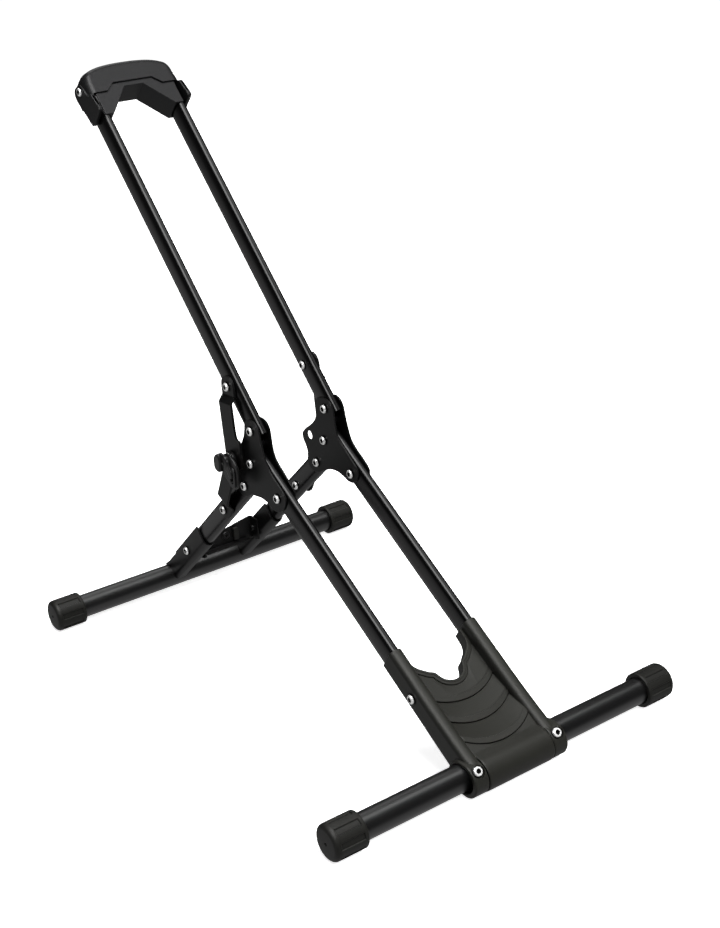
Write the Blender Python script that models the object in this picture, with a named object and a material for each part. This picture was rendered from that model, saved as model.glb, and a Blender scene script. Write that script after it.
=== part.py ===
"""Folding floor bike stand: two hinged rail frames on stamped gussets, with a folding stay on each side.

Lengths are in millimetres until an object is made. X runs across, Y to the back, Z up from the floor.
"""

import math

import bmesh
import bpy
from mathutils import Matrix, Vector

# Overall
TUBE_R = 12.5
TUBE_WALL = 1.5
TUBE_HALF = 189.5
FRONT_TUBE = (-260.5, 17.0)
REAR_TUBE = (260.5, 17.0)
MIDDLE_Y = 32.6
GAP = 0.3

# End caps
CAP_R = 17.0
CAP_END = 195.5
CAP_LENGTH = 33.0
FLUTES = 8
FLUTE_DEPTH = 1.2

# Rails, flat oval tube
RAIL_X = 43.3
RAIL_W = 10.0
RAIL_D = 24.6
LEG_D = 22.0
LEG_RISE = 1.2
RAIL_WALL = 1.5
RAIL_IN = RAIL_X - RAIL_W / 2
RAIL_OUT = RAIL_X + RAIL_W / 2

# Pivots and bolts, as (Y, Z)
P1 = (48.0, 252.5)
P2 = (53.5, 217.0)
P3 = (9.0, 194.0)
P4 = (70.0, 188.0)
KNUCKLE = (79.5, 215.3)
S1 = (83.9, 289.4)
S2 = (116.5, 147.0)
T1 = (323.0, 550.5)
C1 = (-191.6, 63.5)
B1 = (209.7, 66.6)
BOLT_R = 3.0
HOLE_R = 3.3
HEAD_R = 5.2
HEAD_H = 2.7

# Frames of the three members: where their length is counted from, and their angle
LOWER_FROM = (-260.5, 19.0)
LOWER_DEG = 33.15
UPPER_DEG = 47.3
LEG_DEG = -41.6
LOWER_RAIL = (20.0, 378.0)
UPPER_RAIL = (-10.0, 411.5)
LEG = (-11.0, 205.0)

# Gusset plates
PLATE = 1.6
OUTER_PLATE_X = RAIL_OUT + GAP
INNER_PLATE_X = RAIL_IN - GAP - PLATE
EAR_HOLE_R = 4.6
EAR_EDGE = [
    (69.3, 233.8), (77.8, 226.7), (87, 220.4), (92.2, 215), (92.9, 210), (91, 205.6), (88, 201), (86, 196),
    (86.3, 190.5), (87.4, 184.6), (83.5, 178.6), (74.5, 176.2), (65, 178.6), (57, 182.8),
]
INNER_EDGE = [(46.4, 263.7), (53.6, 263.2), (60.1, 261), (63.7, 254.6), (63.5, 246.3), (65.3, 240.2)] + EAR_EDGE + [
    (45, 187.6), (32.5, 188.9), (22.3, 186.6), (14, 184.2), (6.2, 184.9), (-0.6, 190), (-3.2, 196.6),
    (-1, 203), (5.6, 208.4), (14.8, 216), (24, 223.4), (29, 230.4), (31.3, 239), (32.3, 248), (33.4, 254.8),
    (36.4, 260.2), (40.7, 262.7),
]
OUTER_EDGE = [(45, 264.4), (51.2, 263.5), (56.8, 260.6), (59.4, 256), (60.8, 250), (63.4, 243)] + EAR_EDGE + [
    (50, 183.4), (40.4, 184.6), (30.4, 183.6), (23.7, 180.6), (17, 178.8), (9.8, 179.2), (3.6, 182), (-2, 187.6),
    (-4.9, 194), (-4.4, 200), (4.6, 207.9), (14.1, 214.2), (21.9, 221.2), (26, 229.4), (29, 238), (31.3, 247),
    (33, 254.2), (35.4, 259.6), (39.6, 262.9),
]

# Stay links
LINK = 2.5
RAIL_PLANE = RAIL_OUT + GAP
UPPER_PLANE = 53.7
LOWER_PLANE = UPPER_PLANE + LINK + GAP
UPPER_EDGE = [
    (-11, 0), (-9.5, 5.5), (-5.5, 9.5), (0, 11), (8, 11.2), (68, 11.2), (76, 11), (82, 8.3), (85, 2), (84.5, -6),
    (81.5, -13.5), (76, -17.5), (68, -18.6), (58, -18.8), (52.5, -17.8), (46.5, -11.4), (8, -11), (0, -11),
    (-5.5, -9.5), (-9.5, -5.5),
]
LOWER_EDGE = [
    (-8, 2.5), (-6.3, -2.8), (-2, -6.3), (4, -7.3), (18, -6.6), (64, -7.8), (74, -8.8), (81.5, -8.4), (86.2, -4.3),
    (87.8, 1.5), (85.3, 7.3), (79.5, 10.6), (70, 11.3), (42, 11.5), (14, 12.6), (5, 12.8), (-1, 11.6), (-5.8, 8.2),
]

# Cradle, along the lower rails from LOWER_FROM
SLEEVE = (2.0, 126.0)
SLEEVE_W = 14.0
SLEEVE_N = (-14.3, 14.3)
RAIL_SEAT = 19.7
ROLL = ((-266.5, 16.7), (-260.5, 16.7))
ROLL_R = 16.5
LUG_R = 16.1
LUG_X = (38.0, 53.5)
STEP_ARC_R = 60.0
PANEL_X = 37.0
STEPS = [
    (-12, 12.6), (-2, 12.2), (9.4, 10.8), (9.9, 12.1), (15.8, 11.7), (36, 4), (36.5, 5.3), (42.4, 5.4), (60.5, 1.1),
    (61, 2.4), (67, 2.5), (82, 0.9), (140, 0.5),
]
PANEL_BACK = -4.0
NOTCH = [
    (0, 81.9), (5.5, 83), (10.5, 86.3), (13.2, 90.5), (14.8, 94.2), (16.8, 96.2), (21, 98.7), (24, 101.4),
    (28, 104.9), (31, 109.4), (32.6, 114.5), (33.2, 124),
]
RIM = 2.6
RIM_TOP = 2.4
RIM_FOOT = -10.0
BAND = 5.0
BAND_TOP = 1.7
CLAMP_BOLT = (45.8, 143.5)
CLAMP_SEAT = 18.2

# Top bracket, along the upper rails from P1
BLOCK_N = 14.0
BLOCK_TOP = [(0, 418), (34, 415), (45.5, 404)]
ARCH = [(0, 395), (10.7, 395), (36, 365.5), (45.5, 365.5)]
CROWN = [(0, 428.6), (13.5, 428.3), (27, 427), (42, 422.8), (47.4, 420), (51, 415), (52.5, 404)]
SKIRT = [(52.5, 391.6), (32, 391.6), (22.5, 400.3), (0, 400.3)]
COVER_IN = BLOCK_N + GAP
COVER_ROUND = [(-COVER_IN, 1.0), (-BLOCK_N + 1, 0), (0, 0), (6, 0.8), (11, 2.4), (14, 4.6), (15.4, 6.4), (16, 8)]
ARM_X = (49.3, 54.0)
ARM_EDGE = [
    (367, -6.5), (366.4, 8), (367, 19), (369.5, 21), (373, 20.8), (395, 15.8), (404, 14.6), (410, 12), (413, 4),
    (412.5, -6), (409, -9), (395, -9), (380, -8),
]

# Rear sockets, along the legs from P4
SOCKET_FROM = 140.0
SOCKET_W = 15.4
SOCKET_IN = 11.4
SOCKET_N = -4.5
SOCKET_EDGE = [
    (SOCKET_FROM, -16), (SOCKET_FROM, 12.4), (214, 12.4), (216, 11), (240, 11), (252, 12.4), (254, 5), (248, -10),
    (238, -12), (232, -16),
]

# Tie plate between the rear sockets
TIE_Y = 213.5
TIE_T = 2.0
TIE_Z = (54.0, 84.0)
TIE_TOP = [(-33, 80), (-16, 77), (0, 74), (16, 77), (33, 80)]
TIE_TAB_Y = 199.0
TIE_SCREW_Z = 67.5

# Latch knobs on the stay knuckles
KNUCKLE_R = 5.5
KNOB_X = 61.1
KNOB_T = 2.5
KNOB_EDGE = [
    (82.5, 222.5), (75, 224.5), (68, 222), (61.5, 217.5), (58.3, 211.5), (58.5, 203), (60.5, 194), (66, 189.1),
    (72.5, 190.2), (79, 194.5), (85.3, 200), (88.5, 209), (87.5, 217.5),
]
KNOB_SLOT = ((67.8, 206.0), (68.3, 198.0), 2.4)
WING = [
    (63.4, 82.5, 223.5), (63.4, 84.5, 202.5), (66.6, 94.6, 217), (66.6, 92.6, 204), (69.6, 93.4, 217.4),
    (69.6, 91.4, 204.6), (62.1, 76.5, 221.5), (62.1, 79.0, 206.0),
]

SIDES = {"left": -1, "right": 1}

FINISHES = {
    "black_tube": ((0.012, 0.012, 0.013, 1), 0.85, 0.32),
    "black_plate": ((0.02, 0.02, 0.021, 1), 0.7, 0.45),
    "dark_moulding": ((0.028, 0.028, 0.029, 1), 0.0, 0.5),
    "black_rubber": ((0.015, 0.015, 0.015, 1), 0.0, 0.75),
    "bright_steel": ((0.75, 0.74, 0.72, 1), 1.0, 0.25),
}


# Scene and materials

def clear_scene():
    for obj in list(bpy.data.objects):
        bpy.data.objects.remove(obj, do_unlink=True)


def make_collection(name):
    made = bpy.data.collections.new(name)
    bpy.context.scene.collection.children.link(made)
    return made


def make_materials():
    for name, (colour, metallic, roughness) in FINISHES.items():
        material = bpy.data.materials.new(name)
        material.use_nodes = True
        shader = material.node_tree.nodes["Principled BSDF"]
        shader.inputs["Base Color"].default_value = colour
        shader.inputs["Metallic"].default_value = metallic
        shader.inputs["Roughness"].default_value = roughness
        material.diffuse_color = colour


# Outlines in a plane

def arc(centre, radius, start, end, steps):
    """Points from start to end degrees about centre, both ends included."""
    turn = [math.radians(start + (end - start) * i / steps) for i in range(steps + 1)]
    return [(centre[0] + radius * math.cos(a), centre[1] + radius * math.sin(a)) for a in turn]


def circle(centre, radius, steps=12):
    return arc(centre, radius, 0, 360, steps)[:-1]


def stadium(centre, width, depth, steps=6):
    """A flat oval, width across and depth along the second axis."""
    radius = width / 2
    reach = depth / 2 - radius
    top = arc((centre[0], centre[1] + reach), radius, 0, 180, steps)
    bottom = arc((centre[0], centre[1] - reach), radius, 180, 360, steps)
    return top + bottom


def slot(start, end, radius, steps=8):
    """The outline round two circles of one radius."""
    lean = math.degrees(math.atan2(end[1] - start[1], end[0] - start[0]))
    return arc(end, radius, lean - 90, lean + 90, steps) + arc(start, radius, lean + 90, lean + 270, steps)


def smooth(points, steps=2):
    """A closed curve through all the points."""
    made = []
    count = len(points)
    for i in range(count):
        a, b, c, d = (Vector(points[(i + k) % count]) for k in (-1, 0, 1, 2))
        for step in range(steps):
            t = step / steps
            made.append(tuple(
                0.5 * (2 * b + (c - a) * t + (2 * a - 5 * b + 4 * c - d) * t * t + (3 * b - a - 3 * c + d) * t**3)
            ))
    return made


def mirrored(half):
    """A half outline from the middle outwards, and its mirror, as one run from left to right."""
    return [(-x, y) for x, y in reversed(half) if x] + list(half)


def offset(points, distance):
    """An open run of points moved to its right by a distance."""
    made = []
    for i, point in enumerate(points):
        before, after = Vector(points[max(i - 1, 0)]), Vector(points[min(i + 1, len(points) - 1)])
        along = (after - before).normalized()
        made.append((point[0] + along.y * distance, point[1] - along.x * distance))
    return made


# Solids

def prism(outline, low, high, axis="X", holes=()):
    """An outline with holes, extruded along an axis. The outline's pairs are the other two axes in order."""
    bm = bmesh.new()
    edges = []
    for loop in (outline, *holes):
        verts = [bm.verts.new((0, a, b)) for a, b in loop]
        edges += [bm.edges.new((verts[i - 1], verts[i])) for i in range(len(verts))]
    bmesh.ops.triangle_fill(bm, use_beauty=True, edges=edges)
    made = bmesh.ops.extrude_face_region(bm, geom=bm.faces[:])["geom"]
    far = {v for v in made if isinstance(v, bmesh.types.BMVert)}
    for vert in bm.verts:
        along = high if vert in far else low
        _, a, b = vert.co
        vert.co = {"X": (along, a, b), "Y": (a, along, b), "Z": (a, b, along)}[axis]
    bmesh.ops.recalc_face_normals(bm, faces=bm.faces)
    return bm


def loft(rings, closed=False):
    """Rings of points joined in turn, with the last joined to the first or both ends filled."""
    bm = bmesh.new()
    loops = [[bm.verts.new(point) for point in ring] for ring in rings]
    pairs = list(zip(loops, loops[1:] + loops[:1])) if closed else list(zip(loops, loops[1:]))
    for here, there in pairs:
        for i in range(len(here)):
            bm.faces.new((here[i - 1], here[i], there[i], there[i - 1]))
    if not closed:
        bm.faces.new(loops[0])
        bm.faces.new(loops[-1])
    bmesh.ops.recalc_face_normals(bm, faces=bm.faces)
    return bm


def hull(points):
    bm = bmesh.new()
    for point in points:
        bm.verts.new(point)
    made = bmesh.ops.convex_hull(bm, input=bm.verts)
    bmesh.ops.delete(bm, geom=made["geom_interior"], context="VERTS")
    bmesh.ops.recalc_face_normals(bm, faces=bm.faces)
    return bm


def turned_ring(x, centre, radius, angles):
    """A ring of points about an axis along X. The radius may depend on the angle."""
    reach = radius if callable(radius) else (lambda _: radius)
    return [
        (x, centre[0] + reach(a) * math.cos(math.radians(a)), centre[1] + reach(a) * math.sin(math.radians(a)))
        for a in angles
    ]


def along_member(bm, start, degrees):
    """Moves a solid from member axes (across, along, outward) to the world."""
    place = Matrix.Translation((0, *start)) @ Matrix.Rotation(math.radians(degrees), 4, "X")
    bmesh.ops.transform(bm, matrix=place, verts=bm.verts)
    return bm


def on_side(bm, side):
    """Mirrors a solid to the left side when side is -1."""
    if side < 0:
        bmesh.ops.scale(bm, vec=(-1, 1, 1), verts=bm.verts)
        bmesh.ops.reverse_faces(bm, faces=bm.faces)
    return bm


def rod(start, end, radius, steps=12):
    """A plain cylinder between two points."""
    start, end = Vector(start), Vector(end)
    bm = bmesh.new()
    bmesh.ops.create_cone(
        bm, cap_ends=True, segments=steps, radius1=radius, radius2=radius, depth=(end - start).length
    )
    turn = (end - start).to_track_quat("Z", "Y").to_matrix().to_4x4()
    place = Matrix.Translation((start + end) / 2) @ turn
    bmesh.ops.transform(bm, matrix=place, verts=bm.verts)
    return bm


# Objects

def mesh_of(bm, name):
    mesh = bpy.data.meshes.new(name)
    bm.to_mesh(mesh)
    bm.free()
    return mesh


def to_metres(bm, pivot):
    move = Matrix.Scale(0.001, 4) @ Matrix.Translation((-pivot[0], -pivot[1], -pivot[2]))
    bmesh.ops.transform(bm, matrix=move, verts=bm.verts)


def add(name, bm, finish, pivot=(0, 0, 0)):
    """Makes a named part from a solid, with its origin on pivot."""
    to_metres(bm, pivot)
    mesh = mesh_of(bm, name)
    mesh.shade_smooth()
    mesh.set_sharp_from_angle(angle=math.radians(32))
    mesh.materials.append(bpy.data.materials[finish])
    obj = bpy.data.objects.new(name, mesh)
    obj.location = (0.001 * pivot[0], 0.001 * (pivot[1] - MIDDLE_Y), 0.001 * pivot[2])
    PARTS.objects.link(obj)
    return obj


def combine(obj, solids, operation):
    """Adds one Boolean modifier for each solid, each with its own hidden helper."""
    for count, bm in enumerate(solids):
        to_metres(bm, (0, MIDDLE_Y, 0))
        helper = bpy.data.objects.new(f"{obj.name}_{operation.lower()}_{count}", mesh_of(bm, "helper"))
        helper.hide_render = True
        helper.display_type = "WIRE"
        CUTTERS.objects.link(helper)
        modifier = obj.modifiers.new(helper.name, "BOOLEAN")
        modifier.operation = operation
        modifier.solver = "EXACT"
        modifier.object = helper
    return obj


def merged(solids):
    """Several separate solids as one mesh, for one Boolean."""
    whole = bmesh.new()
    for bm in solids:
        part = mesh_of(bm, "part")
        whole.from_mesh(part)
        bpy.data.meshes.remove(part)
    return whole


def cross_holes(spots, low, high, radius=HOLE_R):
    return merged([rod((low, *spot), (high, *spot), radius) for spot in spots])


# Fasteners

def hexagon(angle, across):
    """Distance from the middle to the edge of a hexagon at an angle."""
    return across * math.cos(math.radians(30)) / math.cos(math.radians(angle % 60 - 30))


def head_rings(x, out, centre, height=HEAD_H, radius=HEAD_R):
    """A button head with a hexagon recess, from the recess to the underside. out is the way it faces."""
    angles = [30 * i for i in range(12)]
    socket = lambda angle: hexagon(angle, 2.4)
    sizes = [(height - 1.6, socket), (height, socket), (0.65 * height, 0.85 * radius), (0, radius), (0, BOLT_R)]
    return [turned_ring(x + out * lift, centre, size, angles) for lift, size in sizes]


def bolt(name, spot, side, outside, inside, inner_head=True):
    """A bolt along X, with its head outside and a second head or a plain end inside."""
    rings = head_rings(side * outside, side, spot)
    if inner_head:
        rings += list(reversed(head_rings(side * inside, -side, spot)))
    else:
        angles = [30 * i for i in range(12)]
        rings += [turned_ring(side * (inside + 0.5), spot, BOLT_R, angles)]
        rings += [turned_ring(side * inside, spot, BOLT_R - 0.5, angles)]
    return add(name, loft(rings), "bright_steel", (side * outside, *spot))


def radial_bolt(name, foot, direction, length):
    """A single-headed bolt whose head sits at foot and faces along direction."""
    rings = head_rings(0, 1, (0, 0))
    angles = [30 * i for i in range(12)]
    rings += [turned_ring(0.5 - length, (0, 0), BOLT_R, angles), turned_ring(-length, (0, 0), BOLT_R - 0.5, angles)]
    bm = loft(rings)
    turn = Vector(direction).to_track_quat("X", "Z").to_matrix().to_4x4()
    bmesh.ops.transform(bm, matrix=Matrix.Translation(foot) @ turn, verts=bm.verts)
    return add(name, bm, "bright_steel", foot)


# Cross tubes and end caps

def cross_tube(name, centre, pivot=(0, 0, 0)):
    angles = [15 * i for i in range(24)]
    inner = TUBE_R - TUBE_WALL
    rings = [
        turned_ring(x, centre, radius, angles)
        for x, radius in ((-TUBE_HALF, inner), (-TUBE_HALF, TUBE_R), (TUBE_HALF, TUBE_R), (TUBE_HALF, inner))
    ]
    return add(name, loft(rings, closed=True), "black_tube", pivot)


def flute(angle):
    """Radius of the gripping part of a cap: a rib, then a shallow groove."""
    return CAP_R if angle % (360 / FLUTES) < 20.5 else CAP_R - FLUTE_DEPTH


def end_cap(name, side, centre, pivot=(0, 0, 0)):
    period = 360 / FLUTES
    angles = [period * i + step for i in range(FLUTES) for step in (0, 20, 22.5, 42.5)]
    mouth = CAP_END - CAP_LENGTH
    sizes = [
        (TUBE_HALF + 0.5, TUBE_R + GAP), (mouth, TUBE_R + GAP), (mouth, CAP_R - 0.6), (mouth + 3.6, CAP_R),
        (mouth + 4.4, flute), (CAP_END - 5.4, flute), (CAP_END - 4.6, CAP_R - 0.1), (CAP_END - 2, CAP_R - 1),
        (CAP_END, CAP_R - 4), (CAP_END, 1.6), (CAP_END - 1.5, 1.2),
    ]
    rings = [turned_ring(side * x, centre, radius, angles) for x, radius in sizes]
    return add(name, loft(rings), "black_rubber", pivot)


# Rails and legs

def member_rail(name, side, reach, start, degrees, holes, pivot=(0, 0, 0), depth=RAIL_D, rise=0.0):
    """A flat oval tube along a member, with cross holes at the given (Y, Z)."""
    outer = stadium((RAIL_X, rise), RAIL_W, depth)
    inner = stadium((RAIL_X, rise), RAIL_W - 2 * RAIL_WALL, depth - 2 * RAIL_WALL)
    bm = prism(outer, *reach, axis="Y", holes=[inner])
    obj = add(name, on_side(along_member(bm, start, degrees), side), "black_tube", pivot)
    holes = on_side(cross_holes(holes, RAIL_IN - 3, RAIL_OUT + 3), side)
    return combine(obj, [holes], "DIFFERENCE")


# Gussets

def gusset_plate(name, side, edge, x, finish="black_plate"):
    holes = [circle(spot, HOLE_R) for spot in (P1, P2, P3, P4)] + [circle(KNUCKLE, EAR_HOLE_R)]
    bm = prism(smooth(edge), x, x + PLATE, holes=holes)
    return add(name, on_side(bm, side), finish)


# Stay links

def joggle(bm, bends, rise):
    """Cuts a flat link across at both bends and lifts what lies past them."""
    for bend in bends:
        bmesh.ops.bisect_plane(bm, geom=bm.verts[:] + bm.edges[:] + bm.faces[:], plane_co=(0, bend, 0), plane_no=(0, 1, 0))
    for vert in bm.verts:
        share = (vert.co.y - bends[0]) / (bends[1] - bends[0])
        vert.co.x += rise * min(max(share, 0), 1)
    return bm


def stay_link(name, side, edge, start, other, plane, bends):
    """A stamped link that lies against the rail at start and stands off it at the knuckle."""
    run = Vector(other) - Vector(start)
    holes = [circle((0, 0), HOLE_R), circle((run.length, 0), KNUCKLE_R + GAP)]
    bm = prism(smooth(edge), RAIL_PLANE, RAIL_PLANE + LINK, holes=holes)
    joggle(bm, bends, plane - RAIL_PLANE)
    bm = along_member(bm, start, math.degrees(math.atan2(run.y, run.x)))
    return add(name, on_side(bm, side), "black_plate", (side * RAIL_PLANE, *start))


# Latch knobs and knuckles

def knuckle(name, side):
    """The tubular rivet that the latch slides in."""
    angles = [30 * i for i in range(12)]
    foot = LOWER_PLANE
    lip = LOWER_PLANE + LINK + GAP
    sizes = [(foot, 3.2), (foot, KNUCKLE_R), (lip, KNUCKLE_R), (lip, 8), (lip + 1.1, 8), (lip + 1.5, 7.4), (lip + 1.5, 3.2)]
    rings = [turned_ring(x, KNUCKLE, radius, angles) for x, radius in sizes]
    bm = loft(rings, closed=True)
    return add(name, on_side(bm, side), "bright_steel", (side * foot, *KNUCKLE))


def latch_knob(name, side):
    """A lever plate with a raised wing and a slotted tail, on a plunger."""
    start, end, radius = KNOB_SLOT
    bm = prism(smooth(KNOB_EDGE), KNOB_X, KNOB_X + KNOB_T, holes=[slot(start, end, radius)])
    obj = add(name, on_side(bm, side), "dark_moulding", (side * KNOB_X, *KNUCKLE))
    plunger = rod((LOWER_PLANE + 0.1, *KNUCKLE), (KNOB_X + 1, *KNUCKLE), 2.8)
    boss = rod((KNOB_X + 1, *KNUCKLE), (KNOB_X + 4.2, *KNUCKLE), 5.2, 16)
    return combine(obj, [on_side(part, side) for part in (hull(WING), plunger, boss)], "UNION")


# Cradle

def stepped_panel():
    """The panel between the sleeves: shingled steps whose edges follow smile-shaped arcs."""
    rings = []
    for i in range(13):
        x = PANEL_X * (i / 6 - 1)
        rise = STEP_ARC_R - math.sqrt(STEP_ARC_R**2 - x * x)
        section = STEPS + [(STEPS[-1][0], PANEL_BACK), (STEPS[0][0], PANEL_BACK)]
        rings.append([(x, along + rise, out) for along, out in section])
    return along_member(loft(rings), LOWER_FROM, LOWER_DEG)


def cradle_notch():
    """The tyre notch with the waste above the sleeves, as a cutter."""
    run = mirrored(NOTCH)
    outline = run + [(60, 124), (60, 160), (-60, 160), (-60, 124)]
    return along_member(prism(outline, -20, 30, axis="Z"), LOWER_FROM, LOWER_DEG)


def notch_rim(width, foot, top):
    """A wall of even width round the notch, from foot to top."""
    run = offset(mirrored(NOTCH), width)
    outline = run + [(run[-1][0], 130), (run[0][0], 130)]
    return along_member(prism(outline, foot, top, axis="Z"), LOWER_FROM, LOWER_DEG)


def sleeve(side, width, reach, depth_from, depth_to):
    middle = (depth_from + depth_to) / 2
    bm = prism(stadium((RAIL_X, middle), width, depth_to - depth_from), *reach, axis="Y")
    return on_side(along_member(bm, LOWER_FROM, LOWER_DEG), side)


def clamp_direction():
    angle = math.radians(CLAMP_BOLT[1])
    return Vector((0, math.cos(angle), math.sin(angle)))


def clamp_spot(side, reach):
    return Vector((side * CLAMP_BOLT[0], *FRONT_TUBE)) + reach * clamp_direction()


def cradle():
    """The moulded wheel cradle: a clamp round the front tube, two sleeves, and a stepped panel with a notch."""
    roll = prism(slot(*ROLL, ROLL_R, 10), -LUG_X[0], LUG_X[0])
    obj = add("cradle", roll, "dark_moulding")
    added = [prism(slot(*ROLL, LUG_R, 10), -LUG_X[1], LUG_X[1])]
    cuts = [prism(slot((-264.5, 17), FRONT_TUBE, TUBE_R + GAP, 10), -60, 60)]
    added += [stepped_panel(), notch_rim(BAND, PANEL_BACK + 0.5, BAND_TOP), notch_rim(RIM, RIM_FOOT, RIM_TOP)]
    for side in SIDES.values():
        added.append(sleeve(side, SLEEVE_W, SLEEVE, *SLEEVE_N))
        half = RAIL_D / 2 + GAP
        cuts.append(sleeve(side, RAIL_W + 2 * GAP, (RAIL_SEAT, 140), -half, half))
        cuts.append(rod(clamp_spot(side, 5), clamp_spot(side, 25), HOLE_R))
        cuts.append(rod(clamp_spot(side, CLAMP_SEAT), clamp_spot(side, 30), HEAD_R + 1, 18))
        cuts.append(on_side(cross_holes([C1], 36.9, 58), side))
    cuts.append(cradle_notch())
    combine(obj, added, "UNION")
    return combine(obj, cuts, "DIFFERENCE")


# Top bracket

def rail_hole(side, low):
    """The room that an upper rail takes, from low to just past its end."""
    bm = prism(stadium((RAIL_X, 0), RAIL_W + 2 * GAP, RAIL_D + 2 * GAP), low, UPPER_RAIL[1] + GAP, axis="Y")
    return on_side(along_member(bm, P1, UPPER_DEG), side)


def top_block():
    outline = mirrored(BLOCK_TOP) + list(reversed(mirrored(ARCH)))
    bm = along_member(prism(outline, -BLOCK_N, BLOCK_N, axis="Z"), P1, UPPER_DEG)
    obj = add("top_block", bm, "dark_moulding", (0, *P1))
    cuts = []
    for side in SIDES.values():
        cuts.append(rail_hole(side, 360))
        cuts.append(on_side(cross_holes([T1], 36.3, 55), side))
    return combine(obj, cuts, "DIFFERENCE")


def cover_ring(out, inset):
    """The cover's outline at one depth, with its crown drawn in."""
    crown = offset(mirrored(CROWN), inset)
    skirt = [(crown[-1][0], SKIRT[0][1])] + SKIRT[1:]
    outline = crown + skirt + [(-x, along) for x, along in reversed(skirt) if x]
    return [(x, along, out) for x, along in outline]


def top_cover():
    """The arched cover: a rounded crown over the block, a stepped skirt in front and two guard arms."""
    bm = loft([cover_ring(out, inset) for out, inset in COVER_ROUND])
    obj = add("top_cover", along_member(bm, P1, UPPER_DEG), "dark_moulding", (0, *P1))
    pocket = mirrored([(0, 418.3), (34.1, 415.3), (45.8, 404.2), (45.8, 380)])
    rooms = [along_member(prism(pocket, -30, COVER_IN, axis="Z"), P1, UPPER_DEG)]
    combine(obj, rooms + [rail_hole(side, 380) for side in SIDES.values()], "DIFFERENCE")
    arms, holes = [], []
    for side in SIDES.values():
        arm = prism(smooth(ARM_EDGE), *ARM_X)
        arms.append(on_side(along_member(arm, P1, UPPER_DEG), side))
        holes.append(on_side(cross_holes([T1], 45, 60), side))
    combine(obj, [merged(arms)], "UNION")
    return combine(obj, [merged(holes)], "DIFFERENCE")


# Rear frame

def rear_socket(name, side):
    """A stamped channel with a rounded web, open at the back, saddled on the rear tube."""
    outer = arc((RAIL_X, SOCKET_N), SOCKET_W / 2, 180, 360, 10)
    inner = arc((RAIL_X, SOCKET_N), SOCKET_IN / 2, 360, 180, 8)
    half = SOCKET_W / 2
    slim = SOCKET_IN / 2
    section = [(RAIL_X - half, 20)] + outer + [(RAIL_X + half, 20), (RAIL_X + slim, 20)] + inner + [(RAIL_X - slim, 20)]
    bm = on_side(along_member(prism(section, SOCKET_FROM - 2, 262, axis="Y"), P4, LEG_DEG), side)
    obj = add(name, bm, "black_plate", (0, *P4))
    keep = prism(SOCKET_EDGE, 25, 60)
    combine(obj, [on_side(along_member(keep, P4, LEG_DEG), side)], "INTERSECT")
    cuts = [rod((side * 25, *REAR_TUBE), (side * 60, *REAR_TUBE), TUBE_R + GAP, 24)]
    cuts.append(on_side(cross_holes([B1], 30, 60), side))
    return combine(obj, cuts, "DIFFERENCE")


def tie_plate():
    """A bent strip between the rear sockets, with a tab at each end and a flange below."""
    reach = RAIL_X - SOCKET_W / 2 - GAP
    back = TIE_Y + TIE_T
    plan = [
        (-reach, TIE_TAB_Y), (-reach, back - 2), (-reach + 2, back), (reach - 2, back), (reach, back - 2),
        (reach, TIE_TAB_Y), (reach - TIE_T, TIE_TAB_Y), (reach - TIE_T, TIE_Y), (-reach + TIE_T, TIE_Y),
        (-reach + TIE_T, TIE_TAB_Y),
    ]
    obj = add("tie_plate", prism(plan, *TIE_Z, axis="Z"), "black_plate", (0, *P4))
    flange = prism([(-28, TIE_Y - 7), (28, TIE_Y - 7), (28, back - 0.2), (-28, back - 0.2)], TIE_Z[0], TIE_Z[0] + 2, axis="Z")
    above = prism([(-50, 90)] + [(-50, 80)] + TIE_TOP + [(50, 80), (50, 90)], 190, 230, axis="Y")
    screw = rod((0, 200, TIE_SCREW_Z), (0, 225, TIE_SCREW_Z), HOLE_R)
    corners = [prism([(y, z) for y, z in ((190, TIE_Z[0] - 1), (204, TIE_Z[0] - 1), (190, 61))], -40, 40)]
    combine(obj, [flange], "UNION")
    return combine(obj, [above, screw, cross_holes([B1], -40, 40)] + corners, "DIFFERENCE")


def tie_bumper():
    outline = [(9.5, 59), (14.5, 59), (15, 59.5), (15, 73), (14.5, 73.5), (9.5, 73.5), (9, 73), (9, 59.5)]
    return add("tie_bumper", prism(outline, TIE_Y - GAP - 4, TIE_Y - GAP, axis="Y"), "black_rubber", (0, *P4))


# Sub-assemblies

def build_front_frame():
    tube = cross_tube("front_cross_tube", FRONT_TUBE)
    holes = merged([rod(clamp_spot(side, 5), clamp_spot(side, 20), HOLE_R) for side in SIDES.values()])
    combine(tube, [holes], "DIFFERENCE")
    cradle()
    for label, side in SIDES.items():
        end_cap(f"front_cap_{label}", side, FRONT_TUBE)
        member_rail(f"lower_rail_{label}", side, LOWER_RAIL, LOWER_FROM, LOWER_DEG, [C1, P2, P3])
        gusset_plate(f"gusset_outer_{label}", side, OUTER_EDGE, OUTER_PLATE_X)
        gusset_plate(f"gusset_inner_{label}", side, INNER_EDGE, INNER_PLATE_X)
        radial_bolt(f"clamp_bolt_{label}", clamp_spot(side, CLAMP_SEAT + GAP), clamp_direction(), 11)
        bolt(f"cradle_bolt_{label}", C1, side, RAIL_X + SLEEVE_W / 2 + GAP, 37.2, inner_head=False)
        outside = OUTER_PLATE_X + PLATE + GAP
        inside = INNER_PLATE_X - GAP
        for number, spot in (("upper_pivot", P1), ("rail_bolt_rear", P2), ("rail_bolt_front", P3), ("leg_pivot", P4)):
            bolt(f"{number}_{label}", spot, side, outside, inside)


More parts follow.
